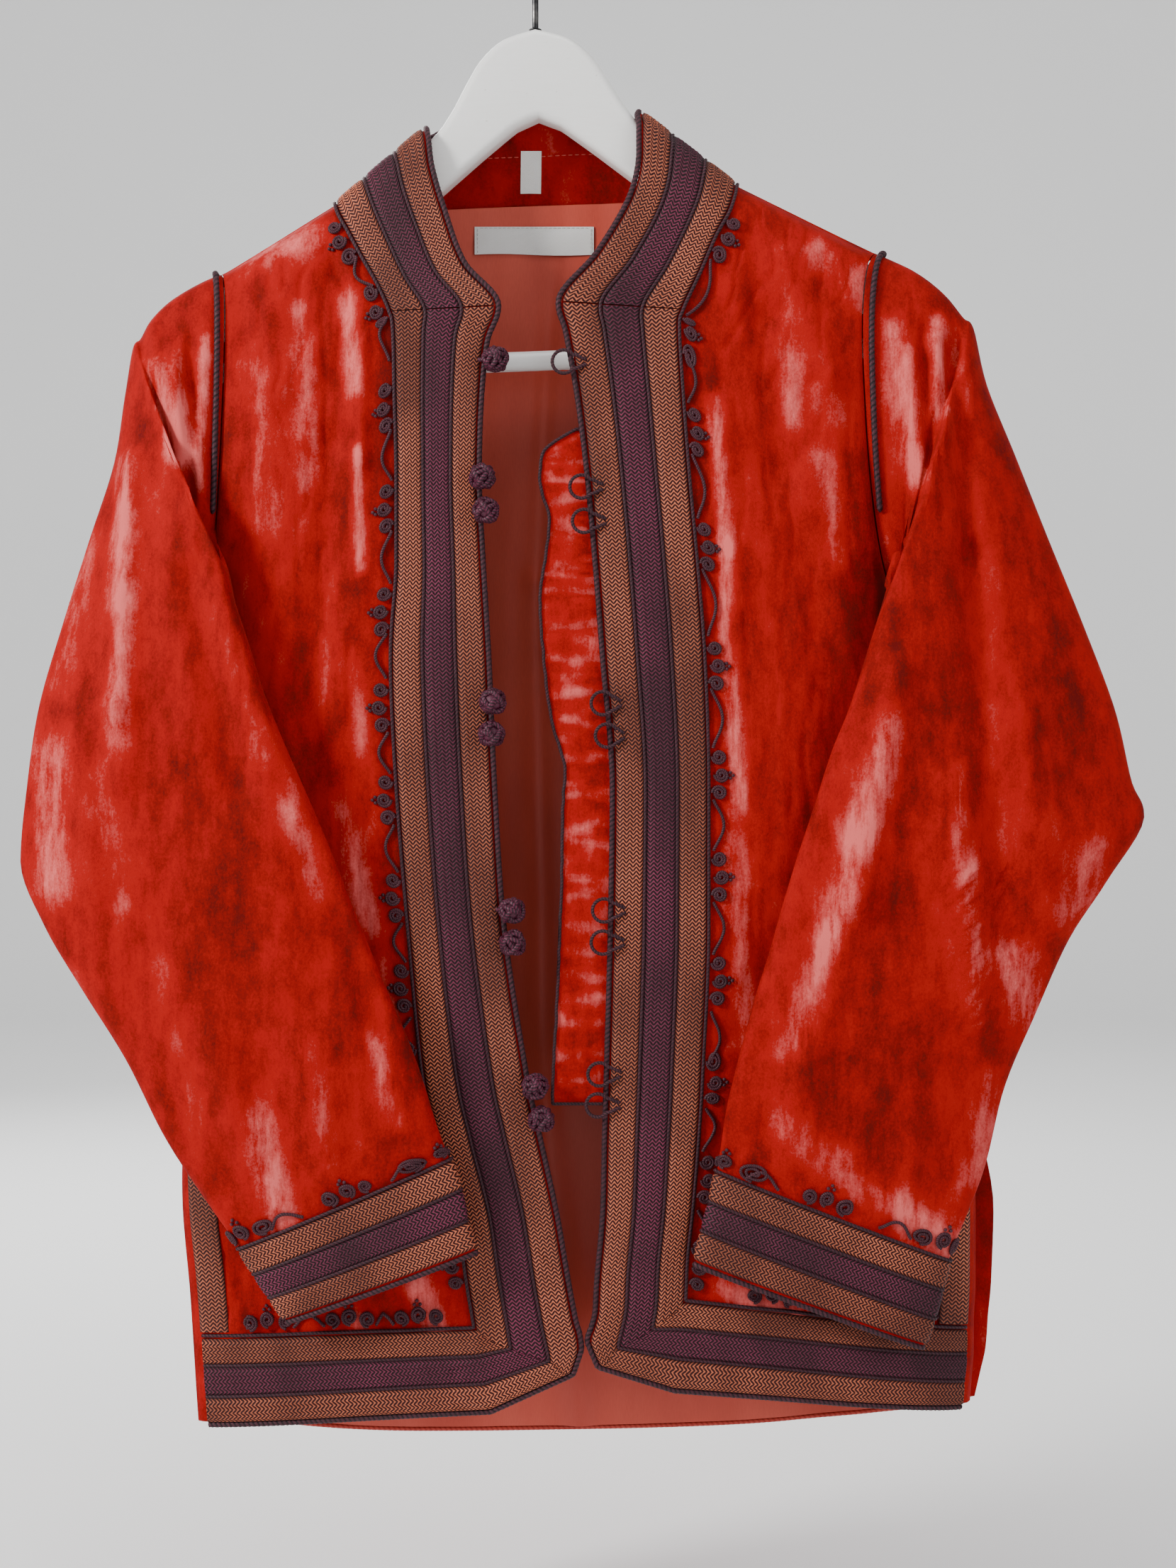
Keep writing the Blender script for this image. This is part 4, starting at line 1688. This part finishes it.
def make_camera():
    """The photograph's view: a little above the middle of the jacket, looking straight at it."""
    data = bpy.data.cameras.new("camera")
    data.sensor_fit = "VERTICAL"
    data.sensor_height = SENSOR
    data.lens = LENS
    camera = bpy.data.objects.new("camera", data)
    camera.location = Vector(CAMERA_PLACE) * MM
    camera.rotation_euler = (math.radians(90), 0, 0)
    bpy.context.scene.collection.objects.link(camera)
    bpy.context.scene.camera = camera

def make_light(name, place, aim, size, watts, colour=(1, 1, 1)):
    data = bpy.data.lights.new(name, "AREA")
    data.shape = "DISK"
    data.size, data.energy, data.color = size, watts, colour
    light = bpy.data.objects.new(name, data)
    light.location = place
    light.rotation_euler = (Vector(aim) - Vector(place)).to_track_quat("-Z", "Y").to_euler()
    bpy.context.scene.collection.objects.link(light)

def make_studio():
    """A pale floor that curves up all round, and soft light from both sides."""
    flat = STUDIO_RADIUS - STUDIO_CURVE
    profile = [(1.4, FLOOR_Z), (flat, FLOOR_Z)]
    for k in range(1, 13):
        a = math.pi / 2 * k / 12
        profile.append((flat + STUDIO_CURVE * math.sin(a), FLOOR_Z + STUDIO_CURVE * (1 - math.cos(a))))
    profile.append((STUDIO_RADIUS, FLOOR_Z + STUDIO_HEIGHT))
    sides = 72
    points = [(0, 0, FLOOR_Z)]
    for radius, z in profile:
        for k in range(sides):
            a = math.tau * k / sides
            points.append((radius * math.cos(a), radius * math.sin(a), z))
    faces = [(0, 1 + k, 1 + (k + 1) % sides) for k in range(sides)]
    for r in range(len(profile) - 1):
        for k in range(sides):
            n = (k + 1) % sides
            a, b = 1 + r * sides, 1 + (r + 1) * sides
            faces.append((a + k, b + k, b + n, a + n))
    mesh = bpy.data.meshes.new("studio")
    mesh.from_pydata(points, [], faces)
    mesh.shade_smooth()
    mesh.materials.append(backdrop())
    studio = bpy.data.objects.new("studio", mesh)
    bpy.context.scene.collection.objects.link(studio)
    for light in LIGHTS:
        make_light(*light)
    world = bpy.data.worlds.new("soft_world")
    world.use_nodes = True
    world.node_tree.nodes["Background"].inputs["Color"].default_value = (1, 1, 1, 1)
    world.node_tree.nodes["Background"].inputs["Strength"].default_value = WORLD_LIGHT
    bpy.context.scene.world = world

# The bands and cuff rings: name, slot, and where each begins and ends across the edge or along the sleeve.
BANDS = (
    ("outer", "copper", -0.985, -0.70),
    ("middle", "purple", -0.665, -0.36),
    ("inner", "copper", -0.325, -0.04),
)
CUFF_BANDS = (
    ("cuff_upper", "copper", 19.07, 19.95),
    ("cuff_middle", "purple", 20.05, 20.95),
    ("cuff_lower", "copper", 21.05, 21.9),
)

def settle(piece, nodes, slot):
    """Stand a piece in for its solids and give it their slot."""
    if nodes:
        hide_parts(*nodes)
    return piece

VELVET, SATIN, TAPE, PAINT, WIRE = velvet(), satin(), tape(), painted(), dark_wire()
COPPER = braid("copper_braid", (0.022, 0.0015, 0.002), (0.17, 0.026, 0.013), (0.60, 0.16, 0.075))
PURPLE = braid("purple_braid", (0.010, 0.001, 0.003), (0.050, 0.006, 0.014), (0.20, 0.028, 0.068))
BRAIDED = {"copper": COPPER, "purple": PURPLE}
DARK_CORD = twisted("dark_twisted_cord", (0.006, 0.001, 0.003), (0.090, 0.012, 0.026))
GIMP_CORD = twisted("gimp_cord", (0.008, 0.001, 0.003), (0.120, 0.015, 0.034), 0.5)
KNOT = twisted("knotted_cord", (0.008, 0.001, 0.004), (0.160, 0.016, 0.055), 0.42)
SATIN_CORD = twisted("satin_piping", (0.30, 0.020, 0.012), (0.52, 0.055, 0.032), 0.45)
STITCH = twisted("red_stitches", (0.35, 0.010, 0.008), (0.85, 0.16, 0.13))
PALE_STITCH = twisted("pale_stitches", (0.45, 0.44, 0.42), (0.80, 0.79, 0.77))

def build():
    sheets = []
    for side in (RIGHT, LEFT):
        name = side_name(side)
        front = settle(make_front(side), [f"front_{name}"], "velvet")
        on_front = [
            settle(make_band(side, band, BRAIDED[slot], first, last), [f"band_{band}_{name}"], slot)
            for band, slot, first, last in BANDS
        ]
        on_front.append(settle(make_separators(side), [], "cord"))
        on_front.append(settle(make_edge_cord(side), [f"edge_cord_{name}"], "cord"))
        on_front.append(settle(make_vent_band(side), [f"vent_band_{name}"], "copper"))
        on_front.append(settle(make_scroll_gimp(side), [f"scroll_trim_{name}"], "cord"))
        sleeve_nodes = [f"sleeve_{name}_{piece}" for piece in ("cap", "front", "back")]
        sleeve = settle(make_sleeve(side), sleeve_nodes, "velvet")
        on_sleeve = [
            settle(make_cuff_band(side, band, BRAIDED[slot], first, last), [f"{band}_{name}"], slot)
            for band, slot, first, last in CUFF_BANDS
        ]
        on_sleeve.append(settle(make_cuff_cords(side), [], "cord"))
        on_sleeve.append(settle(make_cuff_gimp(side), [f"cuff_trim_{name}"], "cord"))
        on_sleeve.append(settle(make_piping(side), [f"armhole_piping_{name}"], "cord"))
        sheets.append((front, FRONT_CUT, on_front, "hung"))
        sheets.append((sleeve, SLEEVE_CUT, on_sleeve, "hung"))
    back = settle(make_back(), ["back"], "velvet")
    collar = settle(make_collar(), ["collar"], "velvet")
    lining = settle(make_lining(), ["back_lining"], "lining")
    hem_cord = settle(make_hem_cord(), ["back_hem_cord"], "lining")
    placket = settle(make_placket(), ["placket"], "velvet")
    placket_cord = settle(make_placket_cord(), [], "cord")
    label, depth = make_label()
    settle(label, ["label"], "label")
    label_stitches = settle(make_label_stitches(depth), [], "label")
    tab = settle(make_size_tab(), ["size_tab"], "label")
    collar_stitches = settle(make_collar_stitches(), [], "velvet")
    for number, (x, z) in enumerate(BUTTONS, 1):
        settle(make_button(number, x, z), [f"button_{number}"], "button")
    for number, (x, z) in enumerate(LOOPS, 1):
        settle(make_loop(number, x, z), [f"loop_{number}"], "cord")
    settle(make_hanger(), ["hanger"], "wood")
    settle(make_bar(), ["trouser_bar"], "wood")
    settle(make_hook(), ["hook"], "metal")
    sheets += [
        (back, BACK_CUT, [], "hung"), (collar, COLLAR_CUT, [collar_stitches], "hung"),
        (lining, LINING_CUT, [hem_cord], "hung"), (placket, PLACKET_CUT, [placket_cord], "gathered"),
        (label, LABEL_CUT, [label_stitches], "hung"), (tab, TAB_CUT, [], "hung"),
    ]
    for piece, (width, length, share), with_pieces, held in sheets:
        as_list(with_pieces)

make_camera()
make_studio()
build()
